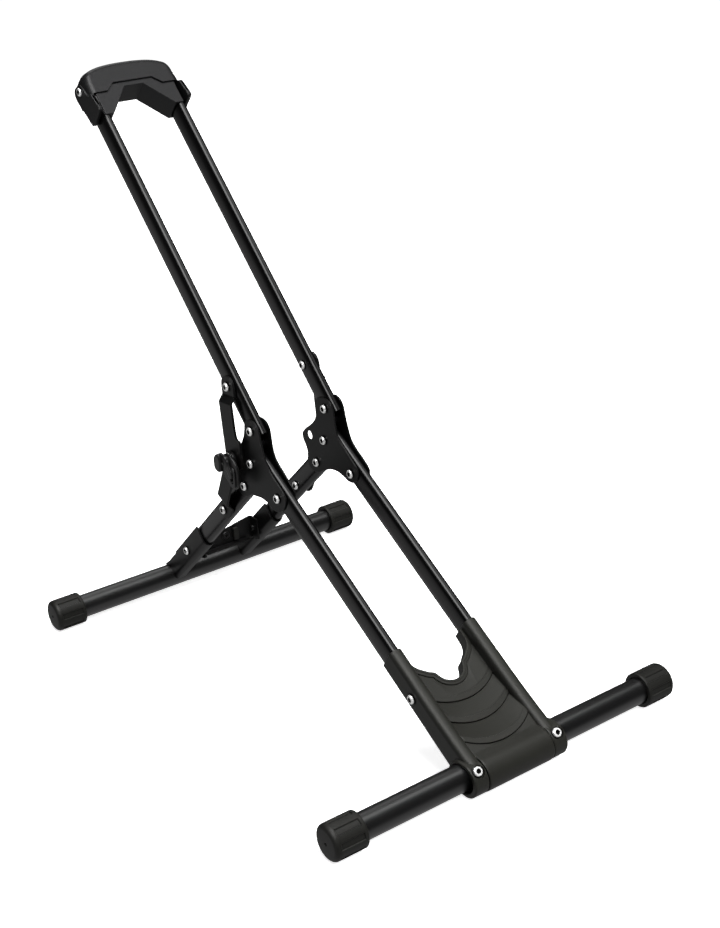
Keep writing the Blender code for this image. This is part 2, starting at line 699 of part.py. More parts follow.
def build_upper_frame():
    top_block()
    top_cover()
    for label, side in SIDES.items():
        member_rail(f"upper_rail_{label}", side, UPPER_RAIL, P1, UPPER_DEG, [P1, S1, T1], (side * RAIL_X, *P1))
        bolt(f"bracket_bolt_{label}", T1, side, ARM_X[1] + GAP, 36.8, inner_head=False)
        bolt(f"stay_bolt_upper_{label}", S1, side, RAIL_PLANE + LINK + GAP, RAIL_IN - GAP)


def build_rear_frame():
    cross_tube("rear_cross_tube", REAR_TUBE, (0, *P4))
    tie_plate()
    tie_bumper()
    radial_bolt("tie_screw", (0, TIE_Y - GAP, TIE_SCREW_Z), (0, -1, 0), 6)
    for label, side in SIDES.items():
        end_cap(f"rear_cap_{label}", side, REAR_TUBE, (0, *P4))
        member_rail(f"leg_{label}", side, LEG, P4, LEG_DEG, [P4, S2, B1], (side * RAIL_X, *P4), LEG_D, LEG_RISE)
        rear_socket(f"rear_socket_{label}", side)
        bolt(f"socket_bolt_{label}", B1, side, RAIL_X + SOCKET_W / 2 + GAP, 31.2, inner_head=False)
        bolt(f"stay_bolt_lower_{label}", S2, side, RAIL_PLANE + LINK + GAP, RAIL_IN - GAP)


def build_stays():
    for label, side in SIDES.items():
        stay_link(f"upper_link_{label}", side, UPPER_EDGE, S1, KNUCKLE, UPPER_PLANE, (9, 15))
        stay_link(f"lower_link_{label}", side, LOWER_EDGE, S2, KNUCKLE, LOWER_PLANE, (12, 21))
        knuckle(f"knuckle_{label}", side)
        latch_knob(f"latch_knob_{label}", side)


clear_scene()
PARTS = make_collection("folding_bike_stand")
CUTTERS = make_collection("cutters")
CUTTERS.hide_render = True
make_materials()
build_front_frame()
build_upper_frame()
build_rear_frame()
build_stays()
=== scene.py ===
"""Looks for the folding floor bike stand: finishes, fine pieces and the studio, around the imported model."""

import logging
import math
from collections.abc import Callable, Iterable, Sequence
from dataclasses import dataclass
from enum import Enum

import bmesh
import bpy
from mathutils import Matrix, Vector


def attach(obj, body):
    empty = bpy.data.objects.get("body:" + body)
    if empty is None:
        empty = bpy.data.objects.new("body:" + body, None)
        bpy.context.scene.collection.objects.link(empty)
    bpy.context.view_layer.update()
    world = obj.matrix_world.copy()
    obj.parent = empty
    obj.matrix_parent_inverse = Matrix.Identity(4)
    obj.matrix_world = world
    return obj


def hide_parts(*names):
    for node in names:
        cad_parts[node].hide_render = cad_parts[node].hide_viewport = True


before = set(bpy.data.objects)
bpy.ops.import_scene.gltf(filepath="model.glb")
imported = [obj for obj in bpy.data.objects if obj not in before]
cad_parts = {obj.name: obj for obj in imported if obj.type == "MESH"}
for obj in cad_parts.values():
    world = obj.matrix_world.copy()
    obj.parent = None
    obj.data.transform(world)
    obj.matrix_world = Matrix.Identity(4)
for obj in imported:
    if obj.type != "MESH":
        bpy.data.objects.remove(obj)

LOG = logging.getLogger("bike_stand")
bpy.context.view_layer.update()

Pair = tuple[float, float]
Triple = tuple[float, float, float]
Outline = tuple[Pair, ...]
Radius = float | Callable[[float], float]
Stations = list[tuple[float, Radius]]
Solid = bmesh.types.BMesh

# Millimetres to metres, the stand's middle on the floor, and the play round the cross tubes
MM = 0.001
MIDDLE_Y = 32.6
GAP = 0.3

# Angles of the members from the floor, in degrees, and the rails' distance from the stand's middle
LOWER_TILT = 33.15
UPPER_TILT = 47.3
LEG_TILT = -41.6
RAIL_MIDDLE = 43.3

# Pivots, bolts and tubes, as (Y, Z) in millimetres
UPPER_PIVOT = (48.0, 252.5)
RAIL_BOLT_REAR = (53.5, 217.0)
RAIL_BOLT_FRONT = (9.0, 194.0)
LEG_PIVOT = (70.0, 188.0)
KNUCKLE = (79.5, 215.3)
STAY_TOP = (83.9, 289.4)
STAY_FOOT = (116.5, 147.0)
BRACKET_BOLT = (323.0, 550.5)
CRADLE_BOLT = (-191.6, 63.5)
SOCKET_BOLT = (209.7, 66.6)
FRONT_TUBE = (-260.5, 17.0)
REAR_TUBE = (260.5, 17.0)
LOWER_FROM = (-260.5, 19.0)

# The clamp bolts: their place across, and the way their heads face
CLAMP_X = 45.8
CLAMP_TURN = math.radians(143.5)
CLAMP_AIM = Vector((0, math.cos(CLAMP_TURN), math.sin(CLAMP_TURN)))


class Side(Enum):
    """The two mirrored sides."""

    LEFT = -1
    RIGHT = 1

    def of(self, name: str) -> str:
        """The name of this side's node or body."""
        return f"{name}_{self.name.lower()}"


class Body(Enum):
    """The bodies that the pieces ride on."""

    FRONT = "front_frame"
    UPPER = "upper_frame"
    REAR = "rear_frame"
    UPPER_STAY = "upper_stay"
    LOWER_STAY = "lower_stay"
    LATCH = "latch"

    def on(self, side: Side) -> str:
        """The body's name on one side, for the bodies that come in pairs."""
        return side.of(self.value)


class Along(Enum):
    """The axis that a flat outline is drawn out along."""

    ACROSS = "X"
    LENGTH = "Y"


class Shows(Enum):
    """What a light takes part in."""

    DIFFUSE = "even light"
    GLOSS = "reflections"
    BOTH = "both"


class Slot(Enum):
    """The record's material slots."""

    TUBE = "black_tube"
    PLATE = "black_plate"
    MOULDING = "dark_moulding"
    RUBBER = "black_rubber"
    STEEL = "bright_steel"


# Shader building

@dataclass(frozen=True)
class Wire:
    """A shader socket whose sums and products add Math nodes.

    Args:
        board: The board that new nodes are added to.
        socket: The output that the wire carries.
    """

    board: "Board"
    socket: bpy.types.NodeSocket

    def _sum(self, operation: str, first: "Wire | float", second: "Wire | float") -> "Wire":
        """A Math node on two values."""
        return self.board.node("ShaderNodeMath", {"operation": operation}, {0: first, 1: second})

    def __add__(self, other: "Wire | float") -> "Wire":
        """Sum."""
        return self._sum("ADD", self, other)

    def __radd__(self, other: float) -> "Wire":
        """Sum with a number on the left."""
        return self._sum("ADD", other, self)

    def __sub__(self, other: "Wire | float") -> "Wire":
        """Difference."""
        return self._sum("SUBTRACT", self, other)

    def __rsub__(self, other: float) -> "Wire":
        """Difference from a number."""
        return self._sum("SUBTRACT", other, self)

    def __mul__(self, other: "Wire | float") -> "Wire":
        """Product."""
        return self._sum("MULTIPLY", self, other)

    def __rmul__(self, other: float) -> "Wire":
        """Product with a number on the left."""
        return self._sum("MULTIPLY", other, self)


class Board:
    """The node board of a material or of the world."""

    def __init__(self, owner: bpy.types.ID) -> None:
        """Puts the owner's nodes to use.

        Args:
            owner: The material or world that the nodes belong to.
        """
        owner.use_nodes = True
        self.owner = owner
        self.tree = owner.node_tree
        self.shader = (self.tree.nodes.get("Principled BSDF") or self.tree.nodes["Background"]).inputs

    def node(self, kind: str, settings: dict, values: dict, output: int | str = 0) -> Wire:
        """Adds a node.

        Args:
            kind: The node's type.
            settings: Its own settings, set before its sockets.
            values: A value or a wire for each input, by name or number.
            output: The output to carry on from.

        Returns:
            A wire from that output.
        """
        made = self.tree.nodes.new(kind)
        for key, value in settings.items():
            setattr(made, key, value)
        for key, value in values.items():
            self.feed(made.inputs[key], value)
        return Wire(self, made.outputs[output])

    def feed(self, socket: bpy.types.NodeSocket, value: "Wire | float | tuple") -> None:
        """Links a wire to a socket, or sets the socket's own value.

        Args:
            socket: The input.
            value: The wire, number or colour.
        """
        if isinstance(value, Wire):
            self.tree.links.new(value.socket, socket)
        else:
            socket.default_value = value

    def place(self, kind: str = "Object") -> Wire:
        """Where the shading is: a point of the object in metres, or as Generated a direction of the world."""
        return self.node("ShaderNodeTexCoord", {}, {}, kind)

    def noise(self, scale: float, detail: float = 2.0, where: Wire | None = None) -> Wire:
        """Smooth noise over the object, from 0 to 1."""
        values = {"Vector": where or self.place(), "Scale": scale, "Detail": detail, "Roughness": 0.55}
        return self.node("ShaderNodeTexNoise", {}, values)

    def mix(self, factor: Wire, first: "Wire | tuple", second: "Wire | tuple") -> Wire:
        """A colour between two others."""
        return self.node("ShaderNodeMix", {"data_type": "RGBA"}, {0: factor, 6: first, 7: second}, 2)

    def ramp(self, value: Wire, start: Pair, end: Pair) -> Wire:
        """A number that runs between two values, with start and end as (input, output)."""
        ends = {"From Min": start[0], "To Min": start[1], "From Max": end[0], "To Max": end[1]}
        return self.node("ShaderNodeMapRange", {}, {"Value": value} | ends)


@dataclass(frozen=True)
class Finish:
    """A surface finish.

    Args:
        name: The material's name.
        slot: The record's slot, not used.
        colour: Base colour, linear.
        metallic: Metallic share.
        roughness: Mean roughness.
        specular: Specular level.
        coat: Weight of a clear coat.
        coat_roughness: Roughness of that coat.
        cloud_scale: Scale of the slow variation.
        cloud_share: How far the slow variation changes the colour.
        rough_spread: How far it changes the roughness.
        grain_scale: Scale of the fine grain.
        grain_height: Height of the grain, in metres.
    """

    name: str
    slot: Slot
    colour: Triple
    metallic: float = 0.0
    roughness: float = 0.5
    specular: float = 0.5
    coat: float = 0.0
    coat_roughness: float = 0.1
    cloud_scale: float = 40.0
    cloud_share: float = 0.25
    rough_spread: float = 0.08
    grain_scale: float = 900.0
    grain_height: float = 0.00002

    def lift(self, board: Board) -> Wire:
        """The surface's fine relief, from 0 to 1."""
        return board.noise(self.grain_scale, 3.0)

    def shade(self, board: Board, tint: Wire) -> Wire:
        """The last change to the colour, none on a plain finish."""
        return tint

    def make(self) -> bpy.types.Material:
        """Makes the material.

        Returns:
            The material, with its colour, roughness and relief varying over the surface.
        """
        board = Board(bpy.data.materials.new(self.name))
        cloud = board.noise(self.cloud_scale)
        dark, light = (tuple(c * (1 + way * self.cloud_share) for c in self.colour) for way in (-1, 1))
        tint = board.mix(cloud, (*dark, 1), (*light, 1))
        relief = {"Height": self.lift(board), "Strength": 1.0, "Distance": self.grain_height}
        sockets = {
            "Base Color": self.shade(board, tint),
            "Roughness": self.roughness + (cloud - 0.5) * (2 * self.rough_spread),
            "Metallic": self.metallic,
            "Specular IOR Level": self.specular,
            "Coat Weight": self.coat,
            "Coat Roughness": self.coat_roughness,
            "Normal": board.node("ShaderNodeBump", {}, relief),
        }
        for socket, value in sockets.items():
            board.feed(board.shader[socket], value)
        board.owner.diffuse_color = (*self.colour, 1)
        return board.owner


@dataclass(frozen=True)
class Moulded(Finish):
    """Spark-textured moulded plastic: cells and noise together."""

    def lift(self, board: Board) -> Wire:
        """Relief of a spark-eroded mould face.

        Args:
            board: The material's board.

        Returns:
            The relief, from 0 to 1.
        """
        where = board.place()
        values = {"Vector": where, "Scale": self.grain_scale}
        cells = board.node("ShaderNodeTexVoronoi", {}, values, "Distance")
        return 0.6 * board.noise(1.8 * self.grain_scale, 2.0, where) + 0.4 * cells


@dataclass(frozen=True)
class Turned(Finish):
    """Plated steel with painted shade: dark where the piece's recess attribute is set."""

    # Colour of the painted shade in the hexagon recess, round the head's foot and on a plain end
    recess: tuple[float, float, float, float] = (0.004, 0.004, 0.004, 1)

    def shade(self, board: Board, tint: Wire) -> Wire:
        """Paints shade: darkens the metal where the piece's recess attribute is set."""
        deep = board.node("ShaderNodeAttribute", {"attribute_name": "recess"}, {}, "Fac")
        return board.mix(deep, tint, self.recess)


TUBE_PAINT = Finish(
    "black_paint_on_tube", Slot.TUBE, (0.0018, 0.0018, 0.0019), roughness=0.25, specular=0.20,
    grain_scale=260, grain_height=0.000003, rough_spread=0.02,
)
CROSS_PAINT = Finish(
    "black_paint_on_cross_tube", Slot.TUBE, (0.0020, 0.0020, 0.0020), roughness=0.36, specular=0.6, coat=0.08,
    coat_roughness=0.34, grain_scale=300, grain_height=0.000003, rough_spread=0.03,
)
PLATE_PAINT = Finish(
    "black_paint_on_plate", Slot.PLATE, (0.0052, 0.0052, 0.0053), roughness=0.36, specular=0.11,
    grain_scale=700, grain_height=0.000005, rough_spread=0.04,
)
MOULDING = Moulded(
    "dark_grey_moulding", Slot.MOULDING, (0.0150, 0.0150, 0.0129), roughness=0.42, specular=0.135,
    grain_scale=1500, rough_spread=0.03, cloud_scale=25, cloud_share=0.12,
)
BRACKET_PLASTIC = Moulded(
    "black_bracket_plastic", Slot.MOULDING, (0.0100, 0.0100, 0.0104), roughness=0.36, specular=0.13,
    grain_scale=1500, rough_spread=0.03, cloud_scale=25, cloud_share=0.12,
)
KNOB_PLASTIC = Moulded(
    "black_knob_plastic", Slot.MOULDING, (0.0050, 0.0050, 0.0050), roughness=0.34, specular=0.22,
    grain_scale=1800, grain_height=0.00001, rough_spread=0.04,
)
RUBBER = Moulded(
    "black_cap_rubber", Slot.RUBBER, (0.0090, 0.0090, 0.0080), roughness=0.48, specular=0.155,
    grain_scale=1300, rough_spread=0.06, cloud_share=0.2,
)
NICKEL = Turned(
    "bright_nickel", Slot.STEEL, (0.95, 0.95, 0.94), metallic=0.4, roughness=0.22, cloud_scale=300,
    cloud_share=0.05, grain_scale=2500, grain_height=0.000003, rough_spread=0.05,
)
BLACK_STEEL = Turned(
    "blackened_steel", Slot.STEEL, (0.007, 0.007, 0.0075), metallic=0.6, roughness=0.35, cloud_scale=300,
    grain_scale=2500, grain_height=0.000003,
)


class Paints:
    """Makes each finish once and keeps it."""

    _made: dict[str, bpy.types.Material] = {}

    @classmethod
    def get(cls, finish: Finish) -> bpy.types.Material:
        """The material of a finish.

        Args:
            finish: The finish.

        Returns:
            Its material, made at the first call.
        """
        if finish.name not in cls._made:
            cls._made[finish.name] = finish.make()
        return cls._made[finish.name]


# Outlines

def held(share: float) -> float:
    """A share, held between 0 and 1."""
    return min(max(share, 0.0), 1.0)


def arc(centre: Pair, radius: float, start: float, end: float, steps: int) -> list[Pair]:
    """Points from start to end degrees about centre, both ends included."""
    turns = [math.radians(start + (end - start) * i / steps) for i in range(steps + 1)]
    return [(centre[0] + radius * math.cos(a), centre[1] + radius * math.sin(a)) for a in turns]


def circle(centre: Pair, radius: float, steps: int = 32) -> list[Pair]:
    """A round outline."""
    return arc(centre, radius, 0, 360, steps)[:-1]


def stadium(centre: Pair, size: Pair, steps: int = 24) -> list[Pair]:
    """A flat oval outline.

    Args:
        centre: Its middle.
        size: Its size along the two axes, the first the smaller.
        steps: Steps round each end.

    Returns:
        Its points.
    """
    radius = size[0] / 2
    reach = size[1] / 2 - radius
    top = arc((centre[0], centre[1] + reach), radius, 0, 180, steps)
    return top + arc((centre[0], centre[1] - reach), radius, 180, 360, steps)


def oval(centre: Pair, size: Pair, steps: int = 80, fullness: float = 2.7) -> list[Pair]:
    """An oval outline between an ellipse and a stadium.

    Args:
        centre: Its middle.
        size: Its size along the two axes.
        steps: Steps round it.
        fullness: 2 for an ellipse, more for fuller corners.

    Returns:
        Its points.
    """
    ring = []
    for i in range(steps):
        turn = 2 * math.pi * (i + 0.5) / steps
        x, y = (math.copysign(abs(part) ** (2 / fullness), part) for part in (math.cos(turn), math.sin(turn)))
        ring.append((centre[0] + size[0] / 2 * x, centre[1] + size[1] / 2 * y))
    return ring


def slot_outline(start: Pair, end: Pair, radius: float, steps: int = 16) -> list[Pair]:
    """The outline round two circles of one radius."""
    lean = math.degrees(math.atan2(end[1] - start[1], end[0] - start[0]))
    return arc(end, radius, lean - 90, lean + 90, steps) + arc(start, radius, lean + 90, lean + 270, steps)


def smooth(points: Sequence[Pair], steps: int = 5, closed: bool = True) -> list[Pair]:
    """A curve through all the points.

    Args:
        points: The points that it passes.
        steps: Steps between two points.
        closed: Whether the last point joins the first.

    Returns:
        The points of the curve.
    """
    made: list[Pair] = []
    count = len(points)
    for i in range(count if closed else count - 1):
        picks = [(i + k) % count if closed else min(max(i + k, 0), count - 1) for k in (-1, 0, 1, 2)]
        a, b, c, d = (Vector(points[k]) for k in picks)
        for step in range(steps):
            t = step / steps
            spot = 2 * b + (c - a) * t + (2 * a - 5 * b + 4 * c - d) * t * t + (3 * b - a - 3 * c + d) * t**3
            made.append((0.5 * spot.x, 0.5 * spot.y))
    return made if closed else made + [tuple(points[-1])]


def drawn_in(points: Sequence[Pair], depths: Sequence[float]) -> list[Pair]:
    """A closed clockwise outline, drawn in by a depth of its own at each point.

    Args:
        points: The outline.
        depths: How far each point moves inwards.

    Returns:
        The smaller outline.
    """
    made: list[Pair] = []
    for i, spot in enumerate(points):
        before = (Vector(spot) - Vector(points[i - 1])).normalized()
        after = (Vector(points[(i + 1) % len(points)]) - Vector(spot)).normalized()
        inward = Vector((before.y + after.y, -before.x - after.x)).normalized()
        share = max(inward.dot(Vector((after.y, -after.x))), 0.4)
        made.append(tuple(Vector(spot) + depths[i] / share * inward))
    return made


def mirrored(half: Sequence[Pair]) -> list[Pair]:
    """A half outline from the middle outwards and its mirror, as one run from left to right."""
    return [(-x, y) for x, y in reversed(half) if x] + list(half)


def between(start: Triple, end: Triple, shares: Sequence[float]) -> list[Triple]:
    """Points on the line from start to end, at shares of its length."""
    return [tuple(Vector(start).lerp(Vector(end), share)) for share in shares]


# Solids

def face_outwards(bm: Solid) -> None:
    """Turns the faces of a closed solid outwards, also where a bore misleads the recalculation.

    Args:
        bm: The solid.
    """
    bmesh.ops.recalc_face_normals(bm, faces=bm.faces)
    if bm.calc_volume(signed=True) < 0:
        bmesh.ops.reverse_faces(bm, faces=bm.faces)


def soften(bm: Solid, edge: float, segments: int = 2, above: float = 38.0) -> None:
    """Rounds every edge that turns by more than an angle.

    Args:
        bm: The solid.
        edge: Width of the rounding.
        segments: Segments across it.
        above: The smallest turn that is rounded, in degrees.
    """
    sharp = [e for e in bm.edges if len(e.link_faces) == 2 and e.calc_face_angle(0) > math.radians(above)]
    bmesh.ops.bevel(
        bm, geom=sharp, offset=edge, offset_type="OFFSET", affect="EDGES", segments=segments, profile=0.5,
        material=-1, clamp_overlap=True,
    )


def plate(
    outline: Sequence[Pair], reach: Pair, holes: Iterable[Sequence[Pair]] = (), edge: float = 0.0,
    segments: int = 2, along: Along = Along.ACROSS,
) -> Solid:
    """A flat outline with holes, drawn out along an axis, with rounded rims.

    Args:
        outline: The outline, in the other two axes in order.
        reach: Where it starts and ends along the axis.
        holes: Outlines of holes.
        edge: Width of the rounding, 0 for none.
        segments: Segments across the rounding.
        along: The axis.

    Returns:
        The solid.
    """
    bm = bmesh.new()
    low, high = reach
    edges = []
    for loop in (outline, *holes):
        verts = [bm.verts.new((low, a, b)) for a, b in loop]
        edges += [bm.edges.new((verts[i - 1], verts[i])) for i in range(len(verts))]
    bmesh.ops.triangle_fill(bm, use_beauty=True, edges=edges)
    bmesh.ops.dissolve_limit(bm, angle_limit=math.radians(0.1), verts=bm.verts, edges=bm.edges)
    made = bmesh.ops.extrude_face_region(bm, geom=bm.faces[:])["geom"]
    top = [v for v in made if isinstance(v, bmesh.types.BMVert)]
    bmesh.ops.translate(bm, vec=(high - low, 0, 0), verts=top)
    face_outwards(bm)
    if edge:
        soften(bm, edge, segments)
    if along is Along.LENGTH:
        for vert in bm.verts:
            out, a, b = vert.co
            vert.co = (a, out, b)
        face_outwards(bm)
    return bm


def ringed(stations: Sequence[tuple[float, Radius]], segments: int = 48) -> Solid:
    """A solid about Z made by drawing one ring through a list of stations.

    Args:
        stations: (height, radius) of each ring. A radius may depend on the angle in degrees.
        segments: Points round a ring.

    Returns:
        The solid, closed at both ends.
    """
    bm = bmesh.new()
    bmesh.ops.create_circle(bm, cap_ends=True, segments=segments, radius=1.0)
    verts, edges = bm.verts[:], bm.edges[:]
    for count, (height, radius) in enumerate(stations):
        if count:
            made = bmesh.ops.extrude_edge_only(bm, edges=edges)["geom"]
            verts = [part for part in made if isinstance(part, bmesh.types.BMVert)]
            edges = [part for part in made if isinstance(part, bmesh.types.BMEdge)]
        for vert in verts:
            angle = math.atan2(vert.co.y, vert.co.x)
            reach = radius(math.degrees(angle) % 360) if callable(radius) else radius
            vert.co = (reach * math.cos(angle), reach * math.sin(angle), height)
    bmesh.ops.edgeloop_fill(bm, edges=edges)
    face_outwards(bm)
    return bm


def drum(low: float, high: float, radius: float) -> Solid:
    """A plain round bar about Z, to carve the room for a bolt's head with."""
    return ringed([(low, radius), (high, radius)], 40)


def turned(profile: Sequence[Pair], segments: int = 64) -> Solid:
    """A closed profile spun round Z.

    Args:
        profile: (radius, height) of its points.
        segments: Steps round the axis.

    Returns:
        The solid.
    """
    bm = bmesh.new()
    verts = [bm.verts.new((radius, 0, height)) for radius, height in profile]
    edges = [bm.edges.new((verts[i - 1], verts[i])) for i in range(len(verts))]
    bmesh.ops.spin(
        bm, geom=verts + edges, cent=(0, 0, 0), axis=(0, 0, 1), dvec=(0, 0, 0), angle=math.tau,
        steps=segments, use_merge=True, use_normal_flip=False, use_duplicate=False,
    )
    bmesh.ops.remove_doubles(bm, verts=bm.verts, dist=1e-4)
    face_outwards(bm)
    return bm


def lofted(rings: Sequence[Sequence[Triple]]) -> Solid:
    """A solid drawn through rings that all have the same number of points.

    Args:
        rings: The points of each ring, whose last point joins the first.

    Returns:
        The solid, closed at both ends.
    """
    bm = bmesh.new()
    rounds, stages = len(rings[0]), len(rings) - 1
    bmesh.ops.create_grid(bm, x_segments=rounds, y_segments=stages, size=1.0)
    for vert in bm.verts:
        i = round((vert.co.x + 1) / 2 * rounds) % rounds
        j = round((vert.co.y + 1) / 2 * stages)
        vert.co = rings[j][i]
    bmesh.ops.remove_doubles(bm, verts=bm.verts, dist=1e-3)
    bmesh.ops.holes_fill(bm, edges=[e for e in bm.edges if e.is_boundary], sides=0)
    face_outwards(bm)
    return bm


def moved(bm: Solid, place: Matrix) -> Solid:
    """Puts a solid where a matrix says."""
    bmesh.ops.transform(bm, matrix=place, verts=bm.verts)
    return bm


def across(bm: Solid, spot: Pair) -> Solid:
    """Lays a solid about Z along X instead, through a (Y, Z) spot."""
    return moved(bm, Matrix.Translation((0, *spot)) @ Matrix.Rotation(math.radians(90), 4, "Y"))


def along_member(bm: Solid, start: Pair, degrees: float) -> Solid:
    """Moves a solid from member axes (across, along, outward) to the stand."""
    return moved(bm, Matrix.Translation((0, *start)) @ Matrix.Rotation(math.radians(degrees), 4, "X"))


def aimed(bm: Solid, foot: Vector, way: Vector) -> Solid:
    """Turns a solid about Z to face a way, and moves its origin to foot."""
    return moved(bm, Matrix.Translation(foot) @ way.to_track_quat("Z", "X").to_matrix().to_4x4())


def on_side(bm: Solid, side: Side) -> Solid:
    """Mirrors a solid to the left side where asked.

    Args:
        bm: The solid, made for the right side.
        side: The side that it is for.

    Returns:
        The solid.
    """
    if side is Side.LEFT:
        bmesh.ops.scale(bm, vec=(-1, 1, 1), verts=bm.verts)
        bmesh.ops.reverse_faces(bm, faces=bm.faces)
    return bm


def sliced(bm: Solid, cuts: Iterable[float]) -> Solid:
    """Adds a line of points round a solid at each place along its second axis.

    Args:
        bm: The solid.
        cuts: The places.

    Returns:
        The solid.
    """
    for cut in cuts:
        whole = bm.verts[:] + bm.edges[:] + bm.faces[:]
        bmesh.ops.bisect_plane(bm, geom=whole, plane_co=(0, cut, 0), plane_no=(0, 1, 0))
    return bm


def as_object(name: str, bm: Solid) -> bpy.types.Object:
    """Puts a solid in the scene.

    Args:
        name: The object's name.
        bm: The solid, which is used up.

    Returns:
        The object.
    """
    mesh = bpy.data.meshes.new(name)
    bm.to_mesh(mesh)
    bm.free()
    made = bpy.data.objects.new(name, mesh)
    bpy.context.scene.collection.objects.link(made)
    return made


def carved(bm: Solid, waste: Solid) -> Solid:
    """Cuts one closed solid out of another.

    Args:
        bm: The solid, which is used up.
        waste: The solid that is taken away, which is used up too.

    Returns:
        What is left.
    """
    kept, gone = as_object("kept", bm), as_object("waste", waste)
    cut = kept.modifiers.new("cut", "BOOLEAN")
    cut.object, cut.operation, cut.solver = gone, "DIFFERENCE", "EXACT"
    left = bmesh.new()
    left.from_object(kept, bpy.context.evaluated_depsgraph_get())
    for used in (kept, gone):
        bpy.data.meshes.remove(used.data)
    return left


def merged(solids: Iterable[Solid]) -> Solid:
    """Several solids as one mesh.

    Args:
        solids: The solids, which are used up.

    Returns:
        The mesh.
    """
    whole = bmesh.new()
    for bm in solids:
        part = bpy.data.meshes.new("part")
        bm.to_mesh(part)
        bm.free()
        whole.from_mesh(part)
        bpy.data.meshes.remove(part)
    return whole


def show(name: str, bm: Solid, finish: Finish, body: str, node: str, sharp: float = 34.0) -> None:
    """Makes a piece from a solid in millimetres and puts it on its body.

    Args:
        name: The piece's name.
        bm: The solid, which is used up.
        finish: Its finish.
        body: The body that it rides on.
        node: The CAD node that it stands for.
        sharp: Turns above this stay crisp, in degrees.
    """
    piece = as_object(name, moved(bm, Matrix.Scale(MM, 4) @ Matrix.Translation((0, -MIDDLE_Y, 0))))
    mesh = piece.data
    mesh.shade_smooth()
    mesh.set_sharp_from_angle(angle=math.radians(sharp))
    mesh.materials.append(Paints.get(finish))
    weigh = piece.modifiers.new("even_shading", "WEIGHTED_NORMAL")
    weigh.keep_sharp = True
    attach(piece, body)
    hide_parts(node)
    LOG.info("%s on %s: %d faces", name, body, len(mesh.polygons))


def refined(node: str, edge: float) -> Solid:
    """A copy of a CAD node with merged corners and rounded edges.

    Args:
        node: The node.
        edge: Width of the rounding, in millimetres.

    Returns:
        The copy, in millimetres.
    """
    bm = bmesh.new()
    bm.from_mesh(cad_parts[node].data)
    moved(bm, Matrix.Translation((0, MIDDLE_Y, 0)) @ Matrix.Scale(1 / MM, 4))
    bmesh.ops.remove_doubles(bm, verts=bm.verts, dist=0.002)
    bmesh.ops.dissolve_limit(bm, angle_limit=math.radians(0.4), verts=bm.verts, edges=bm.edges)
    soften(bm, edge)
    return bm


# Sub-assemblies

